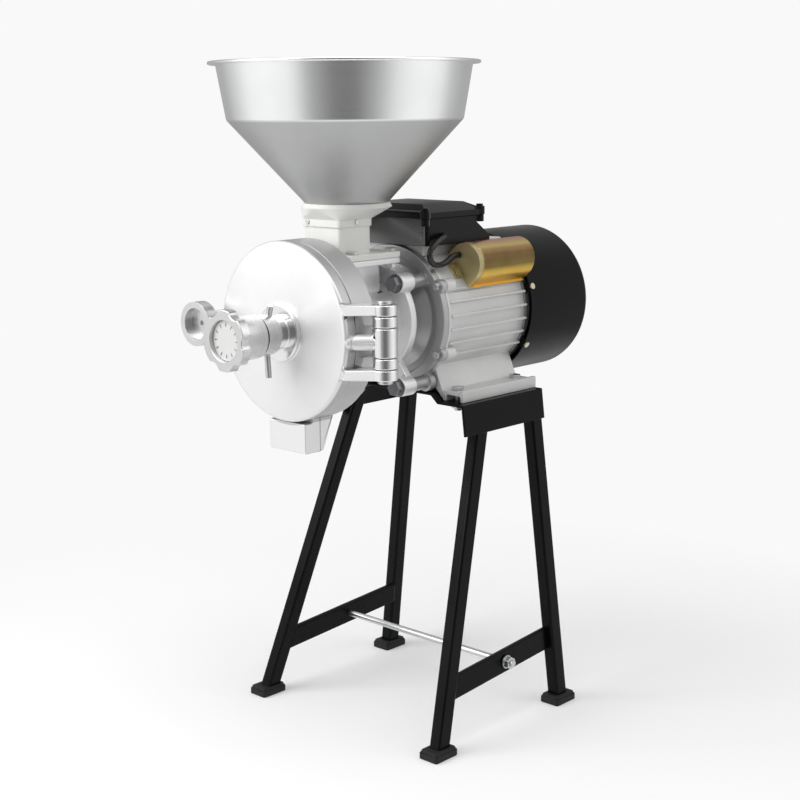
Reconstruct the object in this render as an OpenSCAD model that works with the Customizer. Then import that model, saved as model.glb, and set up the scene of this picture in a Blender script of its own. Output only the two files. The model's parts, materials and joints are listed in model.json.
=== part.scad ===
/* [Stand] */
// Height of the shelf that the motor stands on
shelf_h = 386; // [320:1:460]
// Distance between the left and right feet, centre to centre
foot_span_x = 286; // [230:1:330]
// Distance between the front and rear feet, centre to centre
foot_span_y = 221; // [190:1:260]
// Distance between the left and right legs at the shelf, centre to centre
leg_top_span = 196; // [180:1:220]
// Width of a leg across the stand
leg_w = 16; // [12:1:22]
// Depth of a leg from front to back
leg_d = 19; // [14:1:24]
// Wall of the leg and brace tubes
tube_wall = 1.6; // [1.2:0.1:2.4]
// Length of the top saddle from front to back
saddle_len = 146; // [136:1:170]
// Depth of the saddle's side flanges
flange_drop = 36; // [24:1:50]
// Thickness of the saddle sheet
sheet_t = 3; // [2:0.5:4]
// Height of a side brace
brace_h = 27; // [20:1:36]
// Height of the tie rod above the floor
rod_z = 74; // [60:1:110]
// Diameter of the tie rod
rod_d = 8; // [6:1:10]

/* [Motor] */
// Gap between the motor frame and the shelf
frame_clear = 15; // [14:1:25]
// Radius of the motor frame under its fins
frame_r = 79; // [76:1:82]
// Length of the motor frame
frame_len = 141; // [130:1:160]
// Height of a cooling fin
fin_h = 5; // [3:0.5:7]
// Thickness of a cooling fin
fin_t = 3; // [2:0.5:4]
// Distance that the fan cover stands out past the fins
cover_over = 5.4; // [3:0.2:8]
// Length of the fan cover
cover_len = 117; // [100:1:140]
// Radius of the capacitor cover
cap_r = 24.2; // [22:0.2:25]
// Width of the terminal box
box_w = 120; // [100:1:130]
// Length of the terminal box
box_len = 92; // [80:1:100]
// Height of the terminal box without its lid
box_h = 31; // [26:1:40]
// Radius of the drive shaft
shaft_r = 11; // [10:0.5:12]

/* [Mill] */
// Distance between the motor's front shield and the drum
mill_reach = 124.5; // [118:0.5:132]
// Outer radius of the grinding drum and its door
drum_r = 99; // [94:1:106]
// Depth of the door casting
door_depth = 16; // [14:0.5:20]
// Depth of the drum casting
drum_depth = 32; // [28:1:40]
// Wall of the castings
cast_t = 8; // [6:0.5:9]
// Outer radius of the grinding burrs
burr_r = 70; // [60:1:76]
// Thickness of a burr
burr_t = 7; // [6:0.5:8]
// Gap between the burrs as set
burr_gap = 1; // [0.8:0.1:1.5]
// Outer radius of the feed barrel
barrel_r = 46; // [42:1:48]
// Width of the discharge spout
spout_w = 58; // [44:1:70]
// Height of the spout's mouth above the floor
spout_z = 347; // [330:1:360]

/* [Door fittings] */
// Outer radius of the adjusting knob's lobes
knob_r = 33; // [29:0.5:36]
// Radius of the adjusting knob's body
knob_body_r = 24; // [22:0.5:25]
// Length of the adjusting knob
knob_len = 43; // [38:1:50]
// Radius of the lock ring
ring_r = 22; // [20:0.5:24]
// Radius of the clamp knob
clamp_r = 25; // [22:0.5:28]
// Distance from the drum's rim to the clamp's axis
clamp_reach = 17; // [15:0.5:20]
// Travel of the clamp screw
clamp_travel = 8; // [6:0.5:10]
// Distance from the drum's rim to the hinge axis
hinge_reach = 24; // [22:0.5:28]
// Radius of the hinge knuckles
knuckle_r = 13.5; // [12:0.5:15]
// Radius of the hinge pin
hinge_pin_r = 5.5; // [4:0.5:6.5]

/* [Hopper] */
// Radius over the hopper's rolled rim
hopper_r = 150; // [135:1:165]
// Overall height of the hopper above its collar
hopper_h = 154; // [130:1:180]
// Height of the hopper's upper band
band_h = 63; // [50:1:80]
// Radius of the hopper where the band meets the cone
waist_r = 131; // [120:1:133]
// Radius of the hopper's bottom
throat_r = 46.8; // [40:0.2:48]
// Thickness of the hopper sheet
hopper_t = 1.5; // [1:0.1:2]
// Distance between the hopper's axis and the stand's middle
hopper_back = 101; // [96:1:106]

/* [Hidden] */
$fn = 96;
// Shared clearances and the overrun of the cuts
fit = 0.05;
slack = 0.1;
gap = 0.3;
over = 1;
// Common fasteners: across flats and height of the M8 nut, washer, small screw
nut_af = 13;
nut_h = 6.5;
m8_r = 4;
washer_r = 8;
washer_t = 1.6;
small_screw_r = 2;
small_head_r = 3.7;
small_head_h = 2.2;
small_screw_len = 12;

// Places along the shaft, from the motor to the door
frame_front_y = -22;
shield_t = 9;
shield_y = frame_front_y - shield_t;
shield_lip = 4;
shield_r = frame_r + shield_lip;
frame_back_y = frame_front_y + frame_len;
cover_gap = 1.7;
cover_y = frame_back_y + cover_gap;
cover_back_y = cover_y + cover_len;
fin_tip_r = frame_r + fin_h;
cover_r = fin_tip_r + cover_over;
shaft_rise = frame_r + frame_clear;
shaft_z = shelf_h + shaft_rise;
drum_back_y = shield_y - mill_reach;
door_back_y = drum_back_y - drum_depth;
door_front_y = door_back_y - door_depth;

// Stand
saddle_y = 44;
bolt_x = 80;
bolt_span_y = 104;
bolt_mid_in = 70;
bolt_mid_y = frame_front_y + bolt_mid_in;
raise_z = 9;
shelf_in_w = 9;
raise_slope_w = 10;
shelf_in = bolt_x - shelf_in_w;
raise_half = shelf_in - raise_slope_w;
foot_x = foot_span_x / 2;
foot_y = foot_span_y / 2;
leg_top_x = leg_top_span / 2;
leg_top_z = shelf_h - sheet_t;
leg_corner = 3;
leg_slope = (foot_x - leg_top_x) / leg_top_z;
leg_tilt = atan(leg_slope);
leg_offset = leg_w / 2 / cos(leg_tilt);
shelf_out = leg_top_x + leg_offset + sheet_t;
front_leg_in = 46;
rear_leg_in = 10;
front_top_y = saddle_y - saddle_len / 2 + front_leg_in;
rear_top_y = saddle_y + saddle_len / 2 - rear_leg_in;
pad_w = 27;
pad_d = 37;
pad_h = 11;
pad_floor = 4;
pad_lip = 3;
brace_t = 8;
brace_rise_angle = 4.3;
brace_x = foot_x - leg_slope * rod_z - leg_offset + brace_t / 2;
rod_y = 19;
rod_stub = 3;
brace_out = brace_x + brace_t / 2 / cos(leg_tilt) + washer_r * leg_slope + fit;
rod_half = brace_out + washer_t + nut_h + rod_stub;

// Motor frame
foot_in = shelf_in + gap;
foot_web_in = 1.8;
foot_side = 20;
foot_out = bolt_x + foot_side;
foot_t = 11.5;
foot_lip = 2;
foot_lip_w = 7;
foot_core_w = 21;
foot_core_h = 7.5;
foot_end = 3;
foot_len = frame_len - 2 * foot_end;
foot_heel = 9;
web_shares = [[0.72, -0.67], [0.56, -0.83]];
bolt_head_h = 4.2;
bolt_tail = 3;
frame_rim = 5;
fin_count = 32;
fin_phase = 3.25;
fin_low = -32;
fin_high = 58;
lug_angles = [28, 152, 208, 332];
lug_r = 8;
lug_len = 15;
lug_bolt_r = 2.5;
lug_head_af = 8;
lug_head_h = 4.5;
wire_hole_w = 30;
wire_hole_d = 20;

// Stator and rotor
frame_wall = 11;
core_r = frame_r - frame_wall;
core_deep = 25.6;
core_in_r = core_r - core_deep;
core_back = 25;
core_y = frame_front_y + core_back;
core_len = frame_len - 2 * core_back - foot_end;
slot_count = 24;
slot_w = 3.6;
slot_deep = 14;
coil_w = 18;
coil_h = 17;
coil_corner = 6;
coil_in = 3;
air_gap = 0.4;
end_ring_h = 8;
end_ring_in = 6;

// Shaft and bearings
stub_shoulder_h = 2;
stub_r = shaft_r - stub_shoulder_h;
seat_shoulder_h = 1.5;
front_seat_r = shaft_r + seat_shoulder_h;
core_shoulder_h = 2.5;
core_seat_r = front_seat_r + core_shoulder_h;
rear_shoulder_h = 1;
rear_seat_r = shaft_r - rear_shoulder_h;
fan_seat_r = rear_seat_r - rear_shoulder_h;
bearing_wall = 13.5;
collar_len = 4;
race_t = 4.2;
ball_r = 3.6;
ball_count = 8;
cage_h = 2;
cage_t = 2.4;
front_bearing_r = front_seat_r + bearing_wall;
front_bearing_w = 15;
front_bearing_y = shield_y - front_bearing_w;
rear_bearing_r = rear_seat_r + bearing_wall;
rear_bearing_w = 14;
rear_bearing_in = 16;
rear_bearing_y = frame_back_y - rear_bearing_in;
front_pitch = (front_bearing_r + front_seat_r) / 2;
rear_pitch = (rear_bearing_r + rear_seat_r) / 2;
core_end_y = core_y + core_len + end_ring_h;

// Front shield
snout_wall = 14;
snout_r = front_bearing_r + snout_wall;
snout_len = 23;
snout_y = shield_y - snout_len;
shield_ring = 13;
recess_deep = 4;
register_len = 4;
cone_in = 21;
cone_r = shield_r - cone_in;
boss_r = 8;
stud_hi_in = [33, 38];
stud_hi = [shield_r - stud_hi_in.x, shield_r - stud_hi_in.y];
stud_lo_in = [31, 10];
stud_lo = [shield_r - stud_lo_in.x, stud_lo_in.y - shield_r];
boss_pad = 3;

// Rear shield, fan and fan cover
rear_shield_t = 8;
rear_rim = 2;
rear_hub_wall = 7;
rear_hub_lip = 2;
fan_back = 26;
fan_y = frame_back_y + fan_back;
fan_side = 11;
fan_r = cover_r - fan_side;
fan_hub_r = 18;
fan_hub_len = 22;
fan_disc_t = 2.5;
fan_blade_t = 2.5;
fan_blade_len = 30;
fan_blades = 9;
cover_t = 1.5;
cover_corner = 12;
cover_screw_in = 4;
cover_screw_angles = [17, -30];
vent_shares = [0.22, 0.36, 0.49, 0.63, 0.76];
vent_count = 12;
vent_w = 4;
vent_long_share = 0.36;
spacer_w = 12;

// Terminal box
box_over = 3;
box_y = shield_y - box_over;
box_mid_y = box_y + box_len / 2;
box_clear = 0.7;
pad_top = shield_r + box_clear;
box_z = shaft_z + pad_top;
box_pad_half = 42;
box_t = 3;
box_corner = 6;
box_flare = 22;
box_waist = 6;
box_waist_h = 4;
lid_h = 15.5;
lid_lip = 7;
lid_over = 3;
lid_slope = 18;
lid_end_slope = 12;
lid_rim = 1;
lid_lug_r = 6;
lid_lug_h = 3;
lid_lug_in = 1;
lid_screw_r = 2;
lid_head_r = 4;
lid_head_h = 2.5;
lid_screw_in = 7;
box_lug_r = 5;
box_lug_h = 8;
block_w = 60;
block_d = 22;
block_h = 12;
block_back = 24;
post_r = 2.5;
post_h = 8;
post_pitch = 20;
gland_r = 9;
gland_bore_r = 4.5;
gland_in = 30;
gland_neck_r = 7;
gland_cap_r = 8;
gland_hex_h = 5;
gland_cap_h = 9;
gland_nut_h = 4;

// Capacitor and its cover
cap_turn_angle = 13.37;
cap_angle = atan2(pad_top, box_w / 2) - cap_turn_angle;
cap_skip = 21;
cap_seat_h = 1.2;
cap_seat = frame_r + cap_seat_h;
cap_front = 40;
cap_y = frame_front_y + cap_front;
cap_back = 1;
cap_len = frame_len - cap_front - cap_back;
cap_t = 1;
cap_rise = 13.8;
cap_lip = 2.5;
cap_lip_t = 1.6;
cap_end = 8;
cap_end_in = 0.8;
cap_tab_w = 22;
cap_screw_x = 6;
cap_tab_len = 12;
cap_core_r = 17.5;
cap_core_gap = 6;
cap_post_r = 2;
cap_post_h = 4;
cap_post_off = 7;
lead_r = 3.4;
lead_sides = 10;

// Mill casting
drum_in_r = drum_r - cast_t;
barrel_t = 10;
barrel_in_r = barrel_r - barrel_t;
barrel_end_t = 12;
rear_flange_r = 63;
rear_flange_t = 10;
barrel_back_y = snout_y - rear_flange_t;
rear_lug_len = 21;
rear_lug_front_y = snout_y - rear_lug_len;
hub_bolt_r = 4.5;
hub_bolt_af = 16;
hub_bolt_h = 7;
hub_washer_r = 11;
hub_bolt_in = 14;
flange_hw = 45;
flange_front = 111;
flange_y0 = shield_y - flange_front;
flange_long = 82;
flange_y1 = flange_y0 + flange_long;
flange_t = 6.8;
flange_rise = 66.6;
flange_z = shaft_z + flange_rise;
flange_top_z = flange_z + flange_t;
flange_corner = 4;
flange_bolt_in = 9;
flange_bolt_x = flange_hw - flange_bolt_in;
flange_bolt_front = 14;
flange_bolt_y = [flange_y0 + flange_bolt_front, flange_y1 - flange_bolt_in];
flange_bolt_r = 3;
flange_bolt_af = 11;
flange_head_h = 3.4;
flange_nut_h = 5;
flange_bolt_tail = 8;
neck_hw = 29;
neck_front = 110;
neck_long = 49;
neck_y0 = shield_y - neck_front;
neck_y1 = neck_y0 + neck_long;
neck_t = 5;
neck_h = 44.6;
neck_top = flange_top_z + neck_h;
throat_wall = 1;
throat_back = 14;
spout_front = 11;
spout_y0 = door_back_y - spout_front;
spout_step = 23;
spout_mouth = 29;
spout_deep = 48;
spout_step_y = spout_y0 + spout_step;
spout_y1 = spout_y0 + spout_mouth;
spout_top_y1 = spout_y0 + spout_deep;
spout_t = 4;
spout_inset = 1.2;
spout_roof_z = shaft_z - drum_r - box_clear;
seal_r = 20;
seal_w = 8;
seal_lip = 3;
seal_wall = 2.5;

// Hinge
hinge_x = drum_r + hinge_reach;
hinge_back = 18;
hinge_y = door_back_y + hinge_back;
hinge_drop = 2.7;
hinge_mid = shaft_z - hinge_drop;
arm_t = 11.5;
mid_t = 31;
hinge_gap = 0.8;
arm_r = 8.8;
arm_start = 4;
arm_depth = 9;
arm_root = 7;
hinge_head_r = 8;
hinge_head_t = 4;
arm_root_share = 0.8;

// Burrs and feed plate
carrier_t = 6;
carrier_back = 2.5;
carrier_y = drum_back_y - cast_t - carrier_back - carrier_t;
carrier_hub_r = 19;
carrier_arm_w = 10;
turning_y = carrier_y - burr_t;
fixed_y = turning_y - burr_gap - burr_t;
eye_r = barrel_in_r;
plate_t = 5.5;
plate_lip = 2;
plate_r = burr_r + plate_lip;
plate_y = fixed_y - plate_t;
groove_w = 3;
groove_deep = 2;
groove_count = 24;
groove_angle = 14;
burr_screw_r = 2.5;
burr_screw_ring = (eye_r + burr_r) / 2;
shaft_nut_af = 26;
shaft_nut_lip = 0.5;
shaft_tip = 1.5;
shaft_end_y = turning_y - shaft_tip;
burr_head_r = 4.5;
burr_head_h = 3;
auger_sleeve_r = 17;
auger_turns = 2.2;
auger_root = 6;
auger_tip = 2.5;
auger_side = 2;
auger_end = 4;
auger_front = 0.5;
auger_start_y = carrier_y + carrier_t + auger_front;
auger_end_y = barrel_back_y - barrel_end_t - auger_end;

// Door, its screw and knobs
door_rim = 4;
hub_r = 31.3;
hub_t = 6;
neck_r = 19;
neck_len = 12.8;
neck_y = door_front_y - hub_t - neck_len;
screw_r = 10;
nose_r = 7;
clip_h = 1.6;
clip_side = 2.5;
nose_tail = 2.2;
guide_r = 4;
guide_ring = 45;
guide_in = 4;
guide_floor = 1.5;
guide_tip = 2.2;
ring_w = 17.4;
ring_y = neck_y - gap - ring_w;
bar_r = 3.3;
bar_up = 33;
bar_down = 47;
bar_up_tilt = 15;
bar_down_tilt = -4;
knob_gap = 3;
knob_back_y = ring_y - knob_gap;
knob_y = knob_back_y - knob_len;
lobe_t = 12;
lobe_count = 6;
notch_r = 11;
notch_share = 0.62;
dial_r = 21.8;
dial_deep = 6;
dial_floor = 6;
dial_t = 1.5;
tick_count = 12;
tick_w = 1;
tick_share = 0.72;
tick_long_share = 0.18;
tick_h = 0.5;

// Door clamp
clamp_x = drum_r + clamp_reach;
clamp_up = 1;
clamp_z = shaft_z + clamp_up;
ear_front = 2.2;
ear_back = 1.8;
ear_r = 12;
ear_root = 6;
stud_r = 5;
clamp_depth = 14;
clamp_dish = 10;
clamp_rim = 7;
clamp_hub_r = 11;
clamp_hub_len = 3;
clamp_washer_t = 2;
clamp_washer_r = 10;
clamp_washer_y = door_front_y + ear_front - gap - clamp_travel - clamp_washer_t;
clamp_knob_y = clamp_washer_y - gap - clamp_hub_len - clamp_depth;
stud_hole_r = 3;
stud_hole_deep = 3;
house_ear_t = 16;

// Hopper and collar
collar_t = 1.5;
collar_side = 4;
collar_edge = 1.4;
collar_r = throat_r + collar_side;
collar_h = 17;
collar_chamfer = 4;
collar_skirt = 8;
collar_corner = 5;
collar_bore_in = 8;
base_z = neck_top + collar_h;
spigot = 5.5;
hopper_top = base_z + hopper_h;
hopper_lip = 8.5;
rim_r = 2.6;
hopper_y = -hopper_back;
waist_z = hopper_top - band_h;
band_top_r = hopper_r - hopper_lip;
collar_screw_r = 1.6;
collar_head_r = 2.8;
collar_head_h = 1.2;
collar_screw_x = 19.5;
collar_screw_low = 3;
collar_screw_len = 5;

// Route of the black lead from the terminal box to the capacitor cover, with its heights from the shaft
lead_route = [
    [52, -8, 94], [62, -8, 94], [67, -13, 93.5], [68.5, -21, 91], [69, -30, 86.5],
    [68.5, -37, 80], [68, -38, 72], [66.5, -30, 64], [64.5, -16, 62], [64, -5, 64.5],
    [63, 6, 69], [63, 13, 70.8], [63, 22, 70.8]
];

// Heights of the hinge's five knuckle stages, from the bottom up
stage_z = [
    hinge_mid - mid_t / 2 - 2 * hinge_gap - 2 * arm_t,
    hinge_mid - mid_t / 2 - hinge_gap - arm_t,
    hinge_mid - mid_t / 2,
    hinge_mid + mid_t / 2 + hinge_gap,
    hinge_mid + mid_t / 2 + 2 * hinge_gap + arm_t
];
stack_h = stage_z[4] + arm_t - stage_z[0];

// Round-cornered rectangle centred on the origin
module round_rect(w, d, r) {
    square([w - 2 * r, d], center = true);
    square([w, d - 2 * r], center = true);
    for (x = [-1, 1], y = [-1, 1])
        translate([x * (w / 2 - r), y * (d / 2 - r)]) circle(r, $fn = 32);
}

// Hexagon with the given distance across flats
module hexagon(af) {
    circle(af / 2 / cos(30), $fn = 6);
}

// Cylinder between two levels
module rod(r, low, high) {
    translate([0, 0, low]) cylinder(r = r, h = high - low);
}

// Ring between two levels
module ring(r_in, r_out, low, high) {
    difference() {
        rod(r_out, low, high);
        rod(r_in, low - over, high + over);
    }
}

// Places its children at a station on the shaft axis, with their +Z to the back and +Y down
module along_shaft(y) {
    translate([0, y, shaft_z]) rotate([-90, 0, 0]) children();
}

// Solid leaning bar from a foot to the shelf, cut level at both ends
module leg_bar(side, base_y, top_y, w, d, r, low, high) {
    rise = [side * (leg_top_x - foot_x), top_y - base_y, leg_top_z];
    long = norm(rise);
    span = foot_x + leg_top_z;
    intersection() {
        translate([side * foot_x, base_y, 0])
            rotate([-asin(rise.y / long), atan2(rise.x, rise.z), 0])
            translate([0, 0, -leg_d])
            linear_extrude(long + 2 * leg_d) round_rect(w, d, r);
        translate([-span, -span, low]) cube([2 * span, 2 * span, high - low]);
    }
}

module leg(side, base_y, top_y) {
    color("#1b1b1c") difference() {
        leg_bar(side, base_y, top_y, leg_w, leg_d, leg_corner, pad_floor, leg_top_z);
        leg_bar(side, base_y, top_y, leg_w - 2 * tube_wall, leg_d - 2 * tube_wall,
            leg_corner - tube_wall, pad_floor - over, leg_top_z + over);
    }
}

module foot_pads() {
    color("#161617") for (side = [-1, 1], end = [-1, 1]) {
        top_y = end < 0 ? front_top_y : rear_top_y;
        difference() {
            translate([side * foot_x, end * foot_y, 0]) {
                linear_extrude(pad_h - pad_lip) round_rect(pad_w, pad_d, leg_corner);
                linear_extrude(pad_h) round_rect(pad_w - pad_lip, pad_d - pad_lip, leg_corner);
            }
            leg_bar(side, end * foot_y, top_y, leg_w + fit, leg_d + fit, leg_corner,
                pad_floor, pad_h + over);
        }
    }
}

// Right side of the saddle's upper surface, from its middle to the tip of the side flange
function saddle_top() = [
    [raise_half, shelf_h + raise_z],
    [shelf_in, shelf_h],
    [shelf_out, shelf_h],
    [shelf_out + flange_drop * leg_slope, shelf_h - flange_drop]
];

// The sheet's lower surface, back from the flange's tip to the middle
function saddle_under() = let (fold = sheet_t * tan(22.5)) [
    [shelf_out + flange_drop * leg_slope - sheet_t, shelf_h - flange_drop],
    [shelf_out - sheet_t + sheet_t * leg_slope, shelf_h - sheet_t],
    [shelf_in - fold, shelf_h - sheet_t],
    [raise_half - fold, shelf_h + raise_z - sheet_t]
];

// The same points on the left side, in the opposite order
function on_left(points) = [for (i = [len(points) - 1 : -1 : 0]) [-points[i].x, points[i].y]];

module saddle() {
    right = concat(saddle_top(), saddle_under());
    color("#1b1b1c") difference() {
        translate([0, saddle_y + saddle_len / 2, 0]) rotate([90, 0, 0])
            linear_extrude(saddle_len) polygon(concat(right, on_left(right)));
        foot_each() rod(m8_r + gap, leg_top_z - over, shelf_h + over);
    }
}

// Places its children over the motor's four foot bolts
module foot_each() {
    for (side = [-1, 1], end = [-1, 1])
        translate([side * bolt_x, bolt_mid_y + end * bolt_span_y / 2, 0]) children();
}

module brace(side) {
    front_y = -foot_y + (front_top_y + foot_y) * rod_z / leg_top_z;
    rear_y = foot_y + (rear_top_y - foot_y) * rod_z / leg_top_z;
    color("#1b1b1c") difference() {
        translate([side * brace_x, rod_y, rod_z]) rotate([brace_rise_angle, -side * leg_tilt, 0])
            translate([0, rear_y - rod_y, 0]) rotate([90, 0, 0]) difference() {
                linear_extrude(rear_y - front_y) round_rect(brace_t, brace_h, leg_corner);
                translate([0, 0, -over]) linear_extrude(rear_y - front_y + 2 * over)
                    round_rect(brace_t - 2 * tube_wall, brace_h - 2 * tube_wall, leg_corner - tube_wall);
            }
        leg_bar(side, -foot_y, front_top_y, leg_w, leg_d, leg_corner, 0, leg_top_z);
        leg_bar(side, foot_y, rear_top_y, leg_w, leg_d, leg_corner, 0, leg_top_z);
        translate([side * brace_x, rod_y, rod_z]) rotate([0, 90, 0]) rod(rod_d / 2 + gap, -brace_t, brace_t);
    }
}

module tie_rod() {
    color("#b9b9b6") translate([0, rod_y, rod_z]) rotate([0, 90, 0]) rod(rod_d / 2, -rod_half, rod_half);
}

// Seat of the washer on the outer face of a brace, at the tie rod
module on_brace(side) {
    translate([side * brace_out, rod_y, rod_z]) rotate([0, side * 90, 0]) children();
}

module tie_rod_washers() {
    color("#c9c9c5") for (side = [-1, 1]) on_brace(side) ring(rod_d / 2 + gap, washer_r, 0, washer_t);
}

module hex_nut() {
    difference() {
        linear_extrude(nut_h) hexagon(nut_af);
        rod(m8_r + fit, -over, nut_h + over);
    }
}

module stand_nuts() {
    color("#c9c9c5") {
        for (side = [-1, 1]) on_brace(side) translate([0, 0, washer_t]) hex_nut();
        foot_each() translate([0, 0, leg_top_z - nut_h]) hex_nut();
    }
}

module motor_foot_bolts() {
    top = shelf_h + foot_t;
    color("#c9c9c5") foot_each() {
        translate([0, 0, top]) linear_extrude(bolt_head_h) hexagon(nut_af);
        rod(m8_r, leg_top_z - nut_h - bolt_tail, top + over);
    }
}

// Section of the finned motor frame across the shaft, X to the right and Y up
module frame_section() {
    circle(frame_r);
    for (i = [0 : fin_count - 1]) {
        a = fin_phase + i * 360 / fin_count;
        up = a > 180 ? a - 360 : a;
        level = up > 90 ? 180 - up : up < -90 ? -180 - up : up;
        under_cover = up > cap_angle - cap_skip && up < cap_angle + cap_skip;
        if (level > fin_low && level < fin_high && !under_cover)
            rotate(a) translate([0, -fin_t / 2]) square([fin_tip_r, fin_t]);
    }
    cap_pad();
}

// Flat seat of the capacitor cover, in the same section
module cap_pad() {
    rotate(cap_angle) translate([0, -cap_r]) square([cap_seat, 2 * cap_r]);
}

// Slanted web and base of the right motor foot, in the same section
module foot_section() {
    base = -shaft_rise;
    top = base + foot_t;
    difference() {
        polygon([
            frame_r * web_shares[0],
            [foot_in - foot_web_in, top],
            [foot_out - foot_lip_w, top],
            [foot_out - foot_lip_w + foot_lip, top + foot_lip],
            [foot_out, top + foot_lip],
            [foot_out, base],
            [foot_in, base],
            [foot_in - foot_heel, top - foot_lip],
            frame_r * web_shares[1]
        ]);
        translate([(foot_in + foot_out) / 2, base]) {
            square([foot_core_w - 2 * leg_corner, 2 * foot_core_h], center = true);
            square([foot_core_w, 2 * (foot_core_h - leg_corner)], center = true);
            for (x = [-1, 1]) translate([x * (foot_core_w / 2 - leg_corner), foot_core_h - leg_corner])
                circle(leg_corner, $fn = 32);
        }
    }
}

// Lugs that bolt the front shield to the frame, X to the right and Y up
module shield_lugs(r) {
    for (a = lug_angles) rotate(a) translate([shield_r, 0]) circle(r, $fn = 48);
}

module motor_frame() {
    rim_y = frame_front_y + frame_rim;
    color("#b6b7b8") difference() {
        union() {
            along_shaft(frame_front_y) linear_extrude(frame_rim) mirror([0, 1]) {
                circle(shield_r);
                cap_pad();
            }
            along_shaft(rim_y - over) linear_extrude(frame_len - frame_rim + over) mirror([0, 1])
                frame_section();
            along_shaft(frame_front_y + foot_end) linear_extrude(foot_len) mirror([0, 1]) {
                foot_section();
                mirror([1, 0]) foot_section();
            }
            along_shaft(frame_front_y) linear_extrude(lug_len) mirror([0, 1]) shield_lugs(lug_r);
            along_shaft(frame_front_y) translate([-box_pad_half, -pad_top, 0])
                cube([2 * box_pad_half, pad_top, frame_len]);
        }
        along_shaft(frame_front_y) rod(core_r + fit, -over, frame_len + over);
        foot_each() rod(m8_r + gap, shelf_h - over, shelf_h + foot_t + foot_lip + over);
        along_shaft(frame_front_y) linear_extrude(lug_len + over) mirror([0, 1])
            shield_lugs(lug_bolt_r + gap);
        translate([0, box_mid_y, shaft_z + core_r - over])
            linear_extrude(pad_top) round_rect(wire_hole_w, wire_hole_d, leg_corner);
        cover_screws_each(true) rod(small_screw_r + fit, -small_screw_len - over, over);
    }
}

module stator_core() {
    color("#7c7f84") along_shaft(core_y) difference() {
        ring(core_in_r, core_r, 0, core_len);
        for (i = [0 : slot_count - 1]) rotate(i * 360 / slot_count)
            translate([core_in_r - over, -slot_w / 2, -over])
            cube([slot_deep, slot_w, core_len + 2 * over]);
    }
}

// Overhang of the winding at both ends of the core
module stator_winding() {
    color("#a45a2a") for (y = [core_y - coil_h, core_y + core_len]) along_shaft(y)
        rotate_extrude() translate([core_in_r + coil_in + coil_w / 2, coil_h / 2])
            round_rect(coil_w, coil_h, coil_corner);
}

module rotor() {
    color("#8c8f93") along_shaft(core_y) difference() {
        union() {
            rod(core_in_r - air_gap, 0, core_len);
            rod(core_in_r - end_ring_in, -end_ring_h, core_len + end_ring_h);
        }
        rod(core_seat_r + fit / 2, -end_ring_h - over, core_len + end_ring_h + over);
    }
}

// One step of the shaft between two stations
module shaft_step(r, from_y, to_y) {
    along_shaft(from_y) rod(r, 0, to_y - from_y);
}

// Stepped shaft: burr end, auger run, front seat, core seat, rear seat and fan seat
module motor_shaft() {
    front_seat_end = front_bearing_y + front_bearing_w + collar_len;
    rear_seat_end = rear_bearing_y + rear_bearing_w + collar_len;
    color("#b4b6b8") {
        shaft_step(stub_r, shaft_end_y, carrier_y + carrier_t / 2 + over);
        shaft_step(shaft_r, carrier_y + carrier_t / 2, front_bearing_y);
        shaft_step(front_seat_r, front_bearing_y, front_seat_end);
        shaft_step(core_seat_r, front_seat_end, core_end_y);
        shaft_step(rear_seat_r, core_end_y, rear_seat_end);
        shaft_step(fan_seat_r, rear_seat_end, fan_y + fan_hub_len);
    }
}

// Grooved ball bearing ring between two radii
module bearing_ring(r_in, r_out, w, groove_at) {
    rotate_extrude() difference() {
        translate([r_in, 0]) square([r_out - r_in, w]);
        translate([groove_at, w / 2]) circle(ball_r + fit, $fn = 32);
    }
}

module bearing_outer_rings() {
    color("#c4c6c8") {
        along_shaft(front_bearing_y)
            bearing_ring(front_bearing_r - race_t, front_bearing_r, front_bearing_w, front_pitch);
        along_shaft(rear_bearing_y)
            bearing_ring(rear_bearing_r - race_t, rear_bearing_r, rear_bearing_w, rear_pitch);
    }
}

module bearing_inner_rings() {
    color("#c4c6c8") {
        along_shaft(front_bearing_y)
            bearing_ring(front_seat_r + fit / 2, front_seat_r + race_t, front_bearing_w, front_pitch);
        along_shaft(rear_bearing_y)
            bearing_ring(rear_seat_r + fit / 2, rear_seat_r + race_t, rear_bearing_w, rear_pitch);
    }
}

// Balls held in a pressed cage ring
module ball_set(pitch, w) {
    color("#d0d2d4") {
        for (i = [0 : ball_count - 1]) rotate(i * 360 / ball_count) translate([pitch, 0, w / 2])
            sphere(ball_r - fit, $fn = 32);
        ring(pitch - cage_t / 2, pitch + cage_t / 2, (w - cage_h) / 2, (w + cage_h) / 2);
    }
}

module bearing_balls_front() {
    along_shaft(front_bearing_y) ball_set(front_pitch, front_bearing_w);
}

module bearing_balls_rear() {
    along_shaft(rear_bearing_y) ball_set(rear_pitch, rear_bearing_w);
}

// Places its children at the four studs of the mill, facing the back
module stud_each(y) {
    for (side = [-1, 1], p = [stud_hi, stud_lo])
        translate([side * p.x, y, shaft_z + p.y]) rotate([-90, 0, 0]) children();
}

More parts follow.
